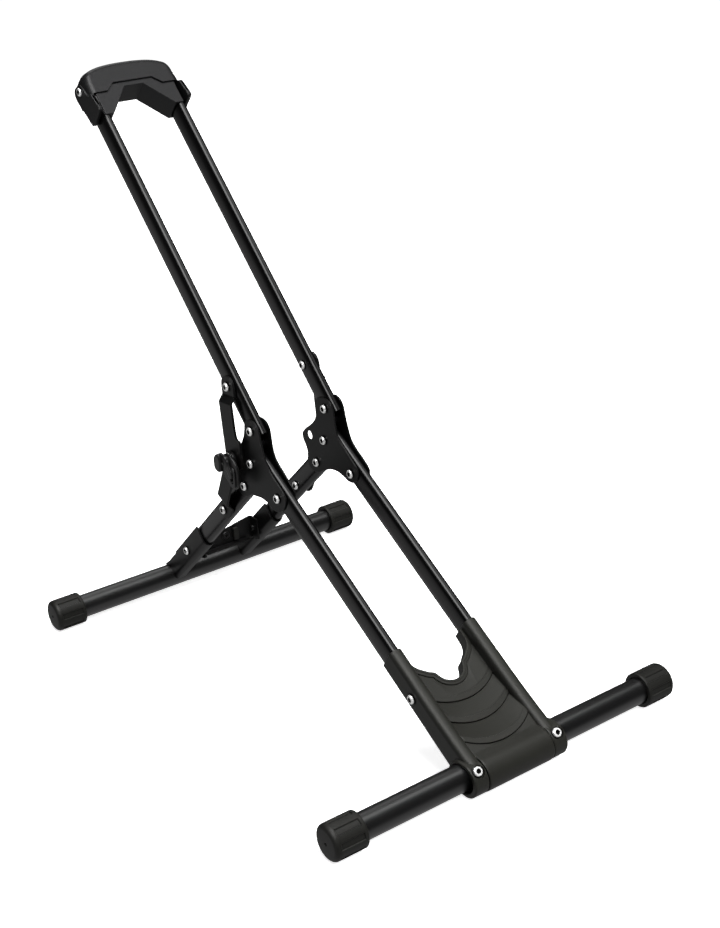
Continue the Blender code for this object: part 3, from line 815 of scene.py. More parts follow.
@dataclass
class Hardware:
    """Button-head bolts with a hexagon recess, and tubular rivets.

    Args:
        radius: Radius of a head.
        face: Radius of its bright face.
        flat: Radius of the flat on top.
        brow: Where its dome starts above the seat.
        height: Its height above the seat.
        shank: Radius of a shank.
        hexagon: Half the recess, over its corners.
        depth: Depth of the recess.
        dark_end: Length of a plain end that is in shadow.
        gusset_seats: Where the gusset bolts' outer and inner heads sit, from the middle.
        stay_seats: The same for the stays' bolts.
        cradle_seats: The outer head's seat and the plain inner end of the cradle's bolts.
        bracket_seats: The same for the bracket's bolts.
        socket_seats: The same for the sockets' bolts.
        clamp_lift: Where the clamp bolts' heads sit, from the tube's middle.
        clamp_length: Length of a clamp bolt below its head.
        screw_seat: Where the tie screw's head sits.
        screw_length: Length of the tie screw below its head.
        rivet_foot: Where the knuckle rivets start, from the middle.
        rivet: Their profile, (radius, height above the foot).
    """

    radius: float = 5.2
    face: float = 4.3
    flat: float = 2.9
    brow: float = 1.25
    height: float = 2.7
    shank: float = 3.0
    hexagon: float = 2.3
    depth: float = 1.6
    dark_end: float = 0.9
    gusset_seats: Pair = (50.5, 36.1)
    stay_seats: Pair = (51.4, 38.0)
    cradle_seats: Pair = (50.4, 37.2)
    bracket_seats: Pair = (53.2, 36.8)
    socket_seats: Pair = (51.3, 31.2)
    clamp_lift: float = 18.5
    clamp_length: float = 11.0
    screw_seat: Triple = (0, 213.2, 67.5)
    screw_length: float = 6.0
    rivet_foot: float = 56.5
    rivet: Outline = (
        (3.2, 0), (5.5, 0), (5.5, 2.8), (7.8, 2.8), (8.0, 3.0), (8.0, 3.7), (7.4, 4.3), (3.6, 4.3),
        (3.2, 4.0),
    )

    def _recess(self, angle: float) -> float:
        """Distance from the middle to the side of the hexagon at an angle."""
        return self.hexagon * math.cos(math.radians(30)) / math.cos(math.radians(angle % 60 - 30))

    def _head(self, seat: float, way: int = 1) -> Stations:
        """Stations of a head, from its seat to the floor of its recess.

        Args:
            seat: Where it sits.
            way: 1 where it faces up the bolt, -1 where it faces down.

        Returns:
            (height, radius) of each ring.
        """
        rim, top, face, rise = self.radius, self.height, self.face, self.height - self.brow
        rings: Stations = [(0.0, rim - 0.2), (0.15, rim), (0.6, rim), (0.8, rim - 0.25), (0.85, face + 0.06)]
        rings += [(0.9, face), (self.brow, face)]
        for lean in (math.radians(turn) for turn in range(15, 76, 15)):
            rings.append((self.brow + rise * math.sin(lean), self.flat + (face - self.flat) * math.cos(lean)))
        rings += [(top, 2.85), (top, lambda angle: self._recess(angle) + 0.25), (top - 0.2, self._recess)]
        rings += [(top - self.depth, self._recess), (top - self.depth - 0.3, 0.9)]
        return [(seat + way * lift, reach) for lift, reach in rings]

    def _mark_painted_shade(self, bm: Solid, dark_below: float) -> Solid:
        """Marks where shade is painted on a bolt that still stands about Z: the recess, the washer foot and
        an end.

        Args:
            bm: The bolt.
            dark_below: The end below this height is painted dark as shade.

        Returns:
            The bolt.
        """
        layer = bm.verts.layers.float.new("recess")
        for vert in bm.verts:
            reach = math.hypot(vert.co.x, vert.co.y)
            # Painted shade: the hexagon recess, the ring outside the bright face, and the plain end
            deep = reach < self.hexagon + 0.1 or reach > self.face + 0.03
            vert[layer] = float(deep or vert.co.z < dark_below)
        return bm

    def _plain_ended(self, end: float, seat: float, dark: float) -> Solid:
        """A bolt about Z with one head.

        Args:
            end: Where its plain end is.
            seat: Where its head sits.
            dark: Length of the end that is in shadow.

        Returns:
            The bolt.
        """
        stations: Stations = [(end, self.shank - 0.5), (end + 0.5, self.shank), (seat, self.shank)]
        return self._mark_painted_shade(ringed(stations + self._head(seat)), end + dark)

    def _fit(self, name: str, bm: Solid, spot: Pair, side: Side, body: str) -> None:
        """Lays a bolt or rivet along X at its spot, and dresses it."""
        show(f"{side.of(name)}_steel", on_side(across(bm, spot), side), NICKEL, body, side.of(name))

    def through(self, name: str, spot: Pair, side: Side, seats: Pair, body: str) -> None:
        """A bolt along X with a head at each end.

        Args:
            name: The node's name without its side.
            spot: (Y, Z) of its axis.
            side: Its side.
            seats: Seats of the outer and the inner head.
            body: The body that it rides on.
        """
        outside, inside = seats
        shank: Stations = [(inside, self.shank), (outside, self.shank)]
        bm = ringed(self._head(inside, -1)[::-1] + shank + self._head(outside))
        self._fit(name, self._mark_painted_shade(bm, -math.inf), spot, side, body)

    def single(self, name: str, spot: Pair, side: Side, seats: Pair, body: str) -> None:
        """A bolt along X with one head, outside. Args as for through, where an end stands for a head."""
        outside, inside = seats
        self._fit(name, self._plain_ended(inside, outside, self.dark_end), spot, side, body)

    def pointed(self, node: str, seat: Vector, way: Vector, length: float, finish: Finish, body: str) -> None:
        """A bolt with one head.

        Args:
            node: Its node.
            seat: Where its head sits.
            way: The way that its head faces.
            length: Its length below the head.
            finish: Its finish.
            body: The body that it rides on.
        """
        show(f"{node}_steel", aimed(self._plain_ended(-length, 0.0, 0.0), seat, way), finish, body, node)

    def build(self) -> None:
        """Makes all the bolts and rivets."""
        front, upper, rear = Body.FRONT.value, Body.UPPER.value, Body.REAR.value
        gusset_bolts = {
            "upper_pivot": UPPER_PIVOT, "rail_bolt_rear": RAIL_BOLT_REAR, "rail_bolt_front": RAIL_BOLT_FRONT,
            "leg_pivot": LEG_PIVOT,
        }
        for side in Side:
            for name, spot in gusset_bolts.items():
                self.through(name, spot, side, self.gusset_seats, front)
            self.through("stay_bolt_upper", STAY_TOP, side, self.stay_seats, upper)
            self.through("stay_bolt_lower", STAY_FOOT, side, self.stay_seats, rear)
            self.single("cradle_bolt", CRADLE_BOLT, side, self.cradle_seats, front)
            self.single("bracket_bolt", BRACKET_BOLT, side, self.bracket_seats, upper)
            self.single("socket_bolt", SOCKET_BOLT, side, self.socket_seats, rear)
            seat = Vector((side.value * CLAMP_X, *FRONT_TUBE)) + self.clamp_lift * CLAMP_AIM
            self.pointed(side.of("clamp_bolt"), seat, CLAMP_AIM, self.clamp_length, NICKEL, front)
            rivet = turned([(radius, self.rivet_foot + lift) for radius, lift in self.rivet], 48)
            self._fit("knuckle", rivet, KNUCKLE, side, Body.LOWER_STAY.on(side))
        forward = Vector((0, -1, 0))
        self.pointed("tie_screw", Vector(self.screw_seat), forward, self.screw_length, BLACK_STEEL, rear)


@dataclass
class CrossTube:
    """A cross tube with its two ribbed end caps.

    Args:
        end: The stand's end that it is at.
        centre: (Y, Z) of its axis.
        body: The body that it rides on.
        radius: Radius of the tube.
        wall: Its wall.
        half: Half its length.
        cap_radius: Radius of a cap.
        cap_end: Where a cap ends, from the middle.
        cap_length: Length of a cap.
        ribs: How many ribs a cap has.
        groove: Depth of the grooves between them.
        groove_place: Where a groove's middle is, as a share of the way from rib to rib.
        groove_half: Half its width, as such a share.
        groove_edge: Width of its soft edge, as such a share.
    """

    end: str
    centre: Pair
    body: str
    radius: float = 12.5
    wall: float = 1.5
    half: float = 189.5
    cap_radius: float = 17.0
    cap_end: float = 195.5
    cap_length: float = 33.0
    ribs: int = 8
    groove: float = 1.15
    groove_place: float = 0.72
    groove_half: float = 0.235
    groove_edge: float = 0.022

    def tube(self) -> None:
        """The steel tube."""
        bore, half = self.radius - self.wall, self.half
        profile = [(bore, -half), (self.radius, -half), (self.radius, half), (bore, half)]
        bm = across(turned(profile, 96), self.centre)
        show(f"{self.end}_tube_painted", bm, CROSS_PAINT, self.body, f"{self.end}_cross_tube")

    def _ribbed(self, depth: float) -> Callable[[float], float]:
        """Radius round the gripping part: broad ribs with soft-edged grooves between.

        Args:
            depth: Depth of the grooves.

        Returns:
            The radius at an angle.
        """
        period = 360 / self.ribs

        def reach(angle: float) -> float:
            """Radius at an angle.

            Args:
                angle: The angle, in degrees.

            Returns:
                The radius.
            """
            off = abs((angle % period) / period - self.groove_place)
            share = held((self.groove_half - off) / self.groove_edge)
            return self.cap_radius - depth * share * share * (3 - 2 * share)

        return reach

    def cap(self, side: Side) -> None:
        """A rubber end cap, drawn from its bore round the lip, along the ribs and over the end.

        Args:
            side: Its side.
        """
        mouth, end = self.cap_end - self.cap_length, self.cap_end
        bore, rim = self.radius + GAP, self.cap_radius
        slight, full = self._ribbed(0.5 * self.groove), self._ribbed(self.groove)
        stations: Stations = [
            (self.half + 0.5, bore), (mouth + 0.6, bore), (mouth, bore + 0.5), (mouth, rim - 0.9),
            (mouth + 0.3, rim - 0.35), (mouth + 0.9, rim), (mouth + 3.5, rim), (mouth + 3.9, slight),
            (mouth + 4.2, full), (end - 5.7, full), (end - 5.3, slight), (end - 4.9, rim),
            (end - 3.4, rim - 0.15), (end - 2.2, rim - 0.75), (end - 1.1, rim - 1.8), (end - 0.35, rim - 3.1),
            (end, rim - 4.8), (end, 1.9), (end - 0.3, 1.5), (end - 2.4, 1.2),
        ]
        node = side.of(f"{self.end}_cap")
        bm = on_side(across(ringed(stations, 240), self.centre), side)
        show(f"{node}_rubber", bm, RUBBER, self.body, node)

    def build(self) -> None:
        """Makes the tube and its caps."""
        self.tube()
        for side in Side:
            self.cap(side)


@dataclass
class Member:
    """A pair of flat oval rails or legs.

    Args:
        name: The node names, without the side.
        body: The body that the pair rides on.
        start: Where its length is counted from.
        degrees: Its angle.
        reach: Where a rail starts and ends along it.
        depth: Depth of the oval.
        rise: How far its middle stands off the member's line.
        width: Width of the oval.
        wall: Its wall.
        swell: How far the curved sides stand out past the flat oval, across and in depth.
    """

    name: str
    body: str
    start: Pair
    degrees: float
    reach: Pair
    depth: float = 24.6
    rise: float = 0.0
    width: float = 10.0
    wall: float = 1.5
    swell: Pair = (0.6, 1.0)

    def build(self) -> None:
        """Makes both sides."""
        middle = (RAIL_MIDDLE, self.rise)
        outer = oval(middle, (self.width + self.swell[0], self.depth + self.swell[1]))
        inner = oval(middle, (self.width - 2 * self.wall, self.depth - 2 * self.wall))
        for side in Side:
            bm = plate(outer, self.reach, [inner], edge=0.3, along=Along.LENGTH)
            bm = on_side(along_member(bm, self.start, self.degrees), side)
            node = side.of(self.name)
            show(f"{node}_painted", bm, TUBE_PAINT, self.body, node)


@dataclass
class Gussets:
    """The stamped plates that join the rails and legs.

    Args:
        thick: Thickness of the plates.
        outer_face: Inner face of the outer plates, from the middle.
        inner_face: Inner face of the inner plates.
        ear_hole: Radius of the hole behind the latch.
        ear: Outline of the ear that both plates have.
        inner_top: The inner plate's outline above the ear.
        inner_foot: The inner plate's outline past the ear, round the rails and up.
        outer_top: The outer plate's, above the ear.
        outer_foot: The outer plate's, past the ear.
    """

    thick: float = 1.6
    outer_face: float = 48.6
    inner_face: float = 36.4
    ear_hole: float = 4.6
    ear: Outline = (
        (69.3, 233.8), (77.8, 226.7), (87, 220.4), (92.2, 215), (92.9, 210), (91, 205.6), (88, 201),
        (86, 196), (86.3, 190.5), (87.4, 184.6), (83.5, 178.6), (74.5, 176.2), (65, 178.6), (57, 182.8),
    )
    inner_top: Outline = (
        (46.4, 263.7), (53.6, 263.2), (60.1, 261), (63.7, 254.6), (63.5, 246.3), (65.3, 240.2),
    )
    inner_foot: Outline = (
        (45, 187.6), (32.5, 188.9), (22.3, 186.6), (14, 184.2), (6.2, 184.9), (-0.6, 190), (-3.2, 196.6),
        (-1, 203), (5.6, 208.4), (14.8, 216), (24, 223.4), (29, 230.4), (31.3, 239), (32.3, 248),
        (33.4, 254.8), (36.4, 260.2), (40.7, 262.7),
    )
    outer_top: Outline = (
        (45, 264.4), (51.2, 263.5), (56.8, 260.6), (59.4, 256), (60.8, 250), (63.4, 243),
    )
    outer_foot: Outline = (
        (50, 183.4), (40.4, 184.6), (30.4, 183.6), (23.7, 180.6), (17, 178.8), (9.8, 179.2), (3.6, 182),
        (-2, 187.6), (-4.9, 194), (-4.4, 200), (4.6, 207.9), (14.1, 214.2), (21.9, 221.2), (26, 229.4),
        (29, 238), (31.3, 247), (33, 254.2), (35.4, 259.6), (39.6, 262.9),
    )

    def build(self) -> None:
        """Makes the two plates of each side."""
        hole = circle(KNUCKLE, self.ear_hole)
        plates = {
            "gusset_outer": (self.outer_top + self.ear + self.outer_foot, self.outer_face),
            "gusset_inner": (self.inner_top + self.ear + self.inner_foot, self.inner_face),
        }
        for name, (edge, face) in plates.items():
            for side in Side:
                bm = plate(smooth(edge), (face, face + self.thick), [hole], edge=0.45, segments=3)
                node = side.of(name)
                show(f"{node}_painted", on_side(bm, side), PLATE_PAINT, Body.FRONT.value, node)


@dataclass
class Stays:
    """The folding side stays: two stamped links, and the latch knob on their knuckle.

    Args:
        thick: Thickness of the links.
        rail_plane: Inner face of both links at their bolts, from the middle.
        upper_plane: Inner face of the upper link past its step.
        lower_plane: Inner face of the lower link past its step.
        upper_bends: Where the upper link's step starts and ends along it.
        lower_bends: Where the lower link's does.
        bend_half: Half the length over which a bend is rounded.
        hole: Radius of the knuckle's hole.
        upper_edge: Outline of the upper link, along the line from its bolt to the knuckle.
        lower_edge: Outline of the lower link.
        knob_face: Inner and outer face of the knob's base, as (from, to).
        lip_face: The same of the raised lip round its slot.
        wing_face: The same of the finger wing.
        neck_face: The same of the neck between hub and lip.
        slot: The two ends of the slot's middle line.
        slot_radius: Half the slot's width.
        lip: The two ends of the lip's middle line.
        lip_radius: Half the lip's width.
        knob_edge: Outline of the knob's base.
        wing_edge: Outline of the finger wing.
        neck_edge: Outline of the neck.
        hub: The hub and its plunger, as (height, radius).
    """

    thick: float = 2.5
    rail_plane: float = 48.6
    upper_plane: float = 53.7
    lower_plane: float = 56.5
    upper_bends: Pair = (9, 15)
    lower_bends: Pair = (12, 21)
    bend_half: float = 1.2
    hole: float = 5.8
    upper_edge: Outline = (
        (-11, 0), (-9.5, 5.5), (-5.5, 9.5), (0, 11), (8, 11.2), (68, 11.2), (76, 11), (82, 8.3), (85, 2),
        (84.5, -6), (81.5, -13.5), (76, -17.5), (68, -18.6), (58, -18.8), (52.5, -17.8), (46.5, -11.4),
        (8, -11), (0, -11), (-5.5, -9.5), (-9.5, -5.5),
    )
    lower_edge: Outline = (
        (-8, 2.5), (-6.3, -2.8), (-2, -6.3), (4, -7.3), (18, -6.6), (64, -7.8), (74, -8.8), (81.5, -8.4),
        (86.2, -4.3), (87.8, 1.5), (85.3, 7.3), (79.5, 10.6), (70, 11.3), (42, 11.5), (14, 12.6), (5, 12.8),
        (-1, 11.6), (-5.8, 8.2),
    )
    knob_face: Pair = (61.1, 63.8)
    lip_face: Pair = (63.4, 65.2)
    wing_face: Pair = (62.4, 69.6)
    neck_face: Pair = (62.4, 66.4)
    slot: tuple[Pair, Pair] = ((67.8, 206.0), (68.3, 198.0))
    slot_radius: float = 2.4
    lip: tuple[Pair, Pair] = ((67.9, 207.0), (68.6, 196.6))
    lip_radius: float = 6.0
    knob_edge: Outline = (
        (82.5, 222.5), (75, 224.5), (68, 222), (61.5, 217.5), (58.3, 211.5), (58.5, 203), (60.5, 194),
        (66, 189.1), (72.5, 190.2), (79, 194.5), (85.3, 200), (88.5, 209), (87.5, 217.5),
    )
    wing_edge: Outline = (
        (84, 222.6), (88, 222.4), (92, 219.8), (94.6, 215.4), (94.4, 209), (92.6, 205), (88.4, 202.8),
        (84.4, 204.2), (82, 209), (81.6, 217),
    )
    neck_edge: Outline = (
        (84, 220), (79, 221.5), (73, 219), (70, 213), (66, 206.5), (66.5, 201.5), (71, 201), (76, 206.5),
        (84, 207),
    )
    hub: Outline = (
        (56.6, 2.8), (61.4, 2.8), (61.4, 7.4), (65.2, 7.4), (66.4, 6.9), (67.0, 5.8), (67.0, 2.6),
        (66.2, 2.2),
    )

    def link(
        self, name: str, side: Side, edge: Outline, start: Pair, plane: float, bends: Pair, body: Body
    ) -> None:
        """A link that lies against the rail at its bolt and steps out towards the knuckle.

        Args:
            name: The node's name without its side.
            side: Its side.
            edge: Its outline, along the line from its bolt to the knuckle.
            start: (Y, Z) of its bolt.
            plane: Where its inner face runs past the step.
            bends: Where the step starts and ends.
            body: Its body.
        """
        run = Vector(KNUCKLE) - Vector(start)
        hole = circle((run.length, 0), self.hole)
        reach = (self.rail_plane, self.rail_plane + self.thick)
        bm = plate(smooth(edge), reach, [hole], edge=0.5, segments=3)
        sliced(bm, [bend + off for bend in bends for off in (-self.bend_half, 0, self.bend_half)])
        for vert in bm.verts:
            vert.co.x += (plane - self.rail_plane) * held((vert.co.y - bends[0]) / (bends[1] - bends[0]))
        bm = on_side(along_member(bm, start, math.degrees(math.atan2(run.y, run.x))), side)
        node = side.of(name)
        show(f"{node}_painted", bm, PLATE_PAINT, body.on(side), node, sharp=50)

    def knob(self, side: Side) -> None:
        """The latch knob: a slotted lever with a raised rim, a finger wing and a hub.

        Args:
            side: Its side.
        """
        slot = slot_outline(*self.slot, self.slot_radius)
        whole = merged([
            plate(smooth(self.knob_edge), self.knob_face, [slot], edge=0.8, segments=3),
            plate(slot_outline(*self.lip, self.lip_radius, 24), self.lip_face, [slot], edge=0.7, segments=3),
            plate(smooth(self.wing_edge), self.wing_face, edge=2.2, segments=4),
            plate(smooth(self.neck_edge), self.neck_face, edge=1.4, segments=3),
            across(ringed(self.hub), KNUCKLE),
        ])
        node = side.of("latch_knob")
        show(f"{node}_plastic", on_side(whole, side), KNOB_PLASTIC, Body.LATCH.on(side), node)

    def build(self) -> None:
        """Makes both stays."""
        upper = (self.upper_edge, STAY_TOP, self.upper_plane, self.upper_bends, Body.UPPER_STAY)
        lower = (self.lower_edge, STAY_FOOT, self.lower_plane, self.lower_bends, Body.LOWER_STAY)
        for side in Side:
            self.link("upper_link", side, *upper)
            self.link("lower_link", side, *lower)
            self.knob(side)


@dataclass
class RearFittings:
    """The sockets on the rear tube, and the tie plate between them.

    Args:
        socket_edge: Rounding of the sockets' edges.
        plate_edge: Rounding of the tie plate's edges.
        bumper_edge: Rounding of the bumper's edges.
    """

    socket_edge: float = 0.35
    plate_edge: float = 0.4
    bumper_edge: float = 0.5

    def build(self) -> None:
        """Makes the pressed pieces and the bumper."""
        body = Body.REAR.value
        edges = {side.of("rear_socket"): self.socket_edge for side in Side} | {"tie_plate": self.plate_edge}
        for node, edge in edges.items():
            show(f"{node}_painted", refined(node, edge), PLATE_PAINT, body, node)
        show("tie_bumper_rubber", refined("tie_bumper", self.bumper_edge), RUBBER, body, "tie_bumper")


@dataclass
class Cradle:
    """The moulded wheel cradle: a roll round the tube, two sleeves and a shingled panel with a tyre notch.

    The panel and the sleeves are made in the lower rails' axes: across, along and outward.

    Args:
        roll: The two middles of the roll's rounds, front and rear, as (Y, Z).
        roll_radius: Radius of the roll.
        roll_turns: Where its front round starts and the step between its lines, in degrees, and their count.
        lining_radius: Radius of the panel's inner side round the tube.
        lug_radius: Radius of the lugs.
        lug: Where a lug starts and ends across.
        barrel_radius: Radius of the barrel between the lugs.
        barrel_half: Half its length.
        bore: Radius of the bore.
        bore_front: The bore's front middle, where it is drawn out to a slot.
        arc_radius: Radius of the arcs that the shingled steps follow.
        reach: Half the panel's width.
        step_reach: Half the width of its steps.
        fall_from: Where its side edges start to round off.
        fall_over: How soon they fall.
        rim_end: How far the last columns stand past the notch's ends.
        rim_way: The way into the panel at its side edges.
        under: The panel's under side, as (along, outward).
        steps: The shingled steps, as (along, outward).
        notch: Half the tyre notch, from its middle, as (across, along).
        rim: Section of the notch's rim, as (into the panel, outward).
        sleeve_reach: Where a sleeve starts and ends along the rail.
        sleeve_size: Its size, across and in depth.
        sleeve_hole: The size of its hole.
        sleeve_cuts: Where points are added along it, so that its foot can swell in a curve.
        swell: How far its foot swells outward.
        swell_from: Where the swelling starts along it.
        swell_over: Over what length it grows.
        swell_above: The sleeve swells above this height only.
        clamp_seat: Where the clamp bolt's sunk seat starts and ends, from the tube's middle, and its radius.
        side_seat: The same for the sleeve's bolt, from the stand's middle.
    """

    roll: tuple[Pair, Pair] = ((-266.5, 16.7), (-260.5, 16.7))
    roll_radius: float = 16.5
    roll_turns: tuple[float, float, int] = (265, 9.72, 19)
    lining_radius: float = 13.5
    lug_radius: float = 16.1
    lug: Pair = (38.0, 53.5)
    barrel_radius: float = 13.9
    barrel_half: float = 38.2
    bore: float = 12.8
    bore_front: Pair = (-264.5, 17)
    arc_radius: float = 60.0
    reach: float = 37.3
    step_reach: float = 37.0
    fall_from: float = 35.8
    fall_over: float = 1.5
    rim_end: float = 0.4
    rim_way: Pair = (0, -0.2)
    under: Outline = ((67, -0.6), (52, 0.2), (36, 1.6), (22, 6.6), (13, 9.0))
    steps: Outline = (
        (8.9, 11.2), (9.15, 10.9), (9.4, 10.0), (9.65, 10.0), (9.8, 11.9), (10.1, 12.15), (11, 12.15),
        (15.6, 11.7), (15.85, 11.3), (16.15, 11.35), (22, 9.4), (29, 6.7), (35.4, 4.2), (35.75, 3.9),
        (36.0, 2.9), (36.2, 2.9), (36.35, 5.0), (36.65, 5.3), (37.4, 5.36), (42.1, 5.45), (42.35, 5.05),
        (42.65, 5.1), (48, 4.0), (54, 2.6), (59.9, 1.2), (60.2, 0.95), (60.45, 0.0), (60.65, 0.0),
        (60.8, 2.1), (61.1, 2.4), (61.9, 2.45), (66.6, 2.5), (66.85, 2.1), (67.15, 2.15),
    )
    notch: Outline = (
        (0, 81.9), (5.5, 83), (10.5, 86.3), (13.2, 90.5), (14.8, 94.2), (16.8, 96.2), (21, 98.7), (24, 101.4),
        (28, 104.9), (31, 109.4), (32.6, 114.5), (33.2, 124),
    )
    rim: Outline = (
        (6.4, 0.9), (5.6, 0.75), (5.35, 0.0), (5.1, 0.0), (4.98, 1.45), (4.6, 1.72), (3.05, 1.75), (2.8, 1.8),
        (2.6, 2.25), (2.25, 2.42), (0.9, 2.42), (0.35, 2.25), (0.08, 1.85), (0, 1.2), (0, -4), (0, -9.2),
        (0.25, -9.8), (0.8, -10), (1.9, -10), (2.4, -9.8), (2.6, -9.2), (2.6, -3.2), (3.0, -2.6), (6.4, -2.2),
    )
    sleeve_reach: Pair = (-6.2, 126.0)
    sleeve_size: Pair = (14, 28.6)
    sleeve_hole: Pair = (10.6, 25.2)
    sleeve_cuts: range = range(-4, 76, 5)
    swell: float = 3.1
    swell_from: float = 71
    swell_over: float = 77
    swell_above: float = 7
    clamp_seat: Triple = (18.2, 32, 6.3)
    side_seat: Triple = (49.5, 60, 6.0)

    def _round(self, degrees: float, radius: float, middle: Pair) -> Pair:
        """A point round the tube, as (along, outward).

        Args:
            degrees: Its angle from the stand's own Y axis.
            radius: Its distance from the round's middle.
            middle: That middle, as (Y, Z).

        Returns:
            The point.
        """
        lean, turn = math.radians(LOWER_TILT), math.radians(degrees)
        y = middle[0] + radius * math.cos(turn) - LOWER_FROM[0]
        z = middle[1] + radius * math.sin(turn) - LOWER_FROM[1]
        return (y * math.cos(lean) + z * math.sin(lean), z * math.cos(lean) - y * math.sin(lean))

    def _column(self, spot: Pair, inward: Vector, x: float) -> list[Triple]:
        """One section of the panel, from under the roll over the top, round the rim and back.

        Args:
            spot: The rim's point here.
            inward: The direction into the panel there.
            x: The section's place across, below the rim.

        Returns:
            The points (across, along, outward).
        """
        rise = self.arc_radius - math.sqrt(self.arc_radius**2 - x * x)
        drop = 0.5 * (max(abs(x) - self.fall_from, 0) / self.fall_over) ** 2
        start, step, count = self.roll_turns
        front, rear = self.roll
        turns = [(start - step * i, front) for i in range(count)] + [(90, rear)]
        skin = [(x, *self._round(turn, self.roll_radius - drop, middle)) for turn, middle in turns]
        steps = [(x, along + rise, out - drop) for along, out in self.steps]
        rim = []
        for deep, out in self.rim:
            place = Vector(spot) + deep * inward
            rim.append((min(max(place.x, -self.reach), self.reach), place.y, out))
        bridge = between(skin[-1], steps[0], (0.33, 0.67))
        field = between(steps[-1], rim[0], (0.03, 0.35, 0.7))
        under = [(x, along + rise, out) for along, out in self.under]
        lining = [(x, *self._round(turn, self.lining_radius, middle)) for turn, middle in reversed(turns)]
        return skin + bridge + steps + field + rim + under + lining

    def panel(self) -> Solid:
        """The panel with its shingled steps and rimmed notch, in member axes.

        Returns:
            The panel.
        """
        run = smooth(mirrored(self.notch), 3, closed=False)
        end, edge_way = run[-1][1] + self.rim_end, Vector(self.rim_way)
        columns = [self._column((-self.reach, end), edge_way, -self.reach)]
        for i, spot in enumerate(run):
            ahead = Vector(run[min(i + 1, len(run) - 1)]) - Vector(run[max(i - 1, 0)])
            inward = Vector((ahead.y, -ahead.x)).normalized()
            columns.append(self._column(spot, inward, spot[0] * self.step_reach / self.notch[-1][0]))
        columns.append(self._column((self.reach, end), edge_way, self.reach))
        return lofted(columns)

    def sleeve(self) -> Solid:
        """The sleeve round the right rail, its foot swelling to meet the lug, in member axes.

        Returns:
            The sleeve.
        """
        outer = stadium((RAIL_MIDDLE, 0), self.sleeve_size, 32)
        hole = stadium((RAIL_MIDDLE, 0), self.sleeve_hole)
        bm = plate(outer, self.sleeve_reach, [hole], edge=0.8, segments=3, along=Along.LENGTH)
        sliced(bm, self.sleeve_cuts)
        for vert in bm.verts:
            share = held((self.swell_from - vert.co.y) / self.swell_over)
            if vert.co.z > self.swell_above:
                vert.co.z += self.swell * share * share
        return bm

    def half(self, side: Side) -> Solid:
        """A lug and its sleeve, with the sunk seats of their bolts.

        Args:
            side: Its side.

        Returns:
            Both, as one mesh.
        """
        round_tube = slot_outline(*self.roll, self.lug_radius, 36)
        lug = plate(round_tube, self.lug, [self._bore()], edge=1.5, segments=4)
        sleeve = along_member(self.sleeve(), LOWER_FROM, LOWER_TILT)
        shells = []
        for shell in (lug, carved(sleeve, across(drum(*self.side_seat), CRADLE_BOLT))):
            seat = aimed(drum(*self.clamp_seat), Vector((CLAMP_X, *FRONT_TUBE)), CLAMP_AIM)
            shells.append(carved(shell, seat))
        return on_side(merged(shells), side)

    def _bore(self) -> list[Pair]:
        """Outline of the bore round the front tube."""
        return slot_outline(self.bore_front, FRONT_TUBE, self.bore, 28)

    def build(self) -> None:
        """Makes the cradle."""
        round_tube = slot_outline(*self.roll, self.barrel_radius, 36)
        barrel = plate(round_tube, (-self.barrel_half, self.barrel_half), [self._bore()])
        panel = along_member(self.panel(), LOWER_FROM, LOWER_TILT)
        whole = merged([barrel, panel] + [self.half(side) for side in Side])
        show("cradle_moulding", whole, MOULDING, Body.FRONT.value, "cradle", sharp=36)


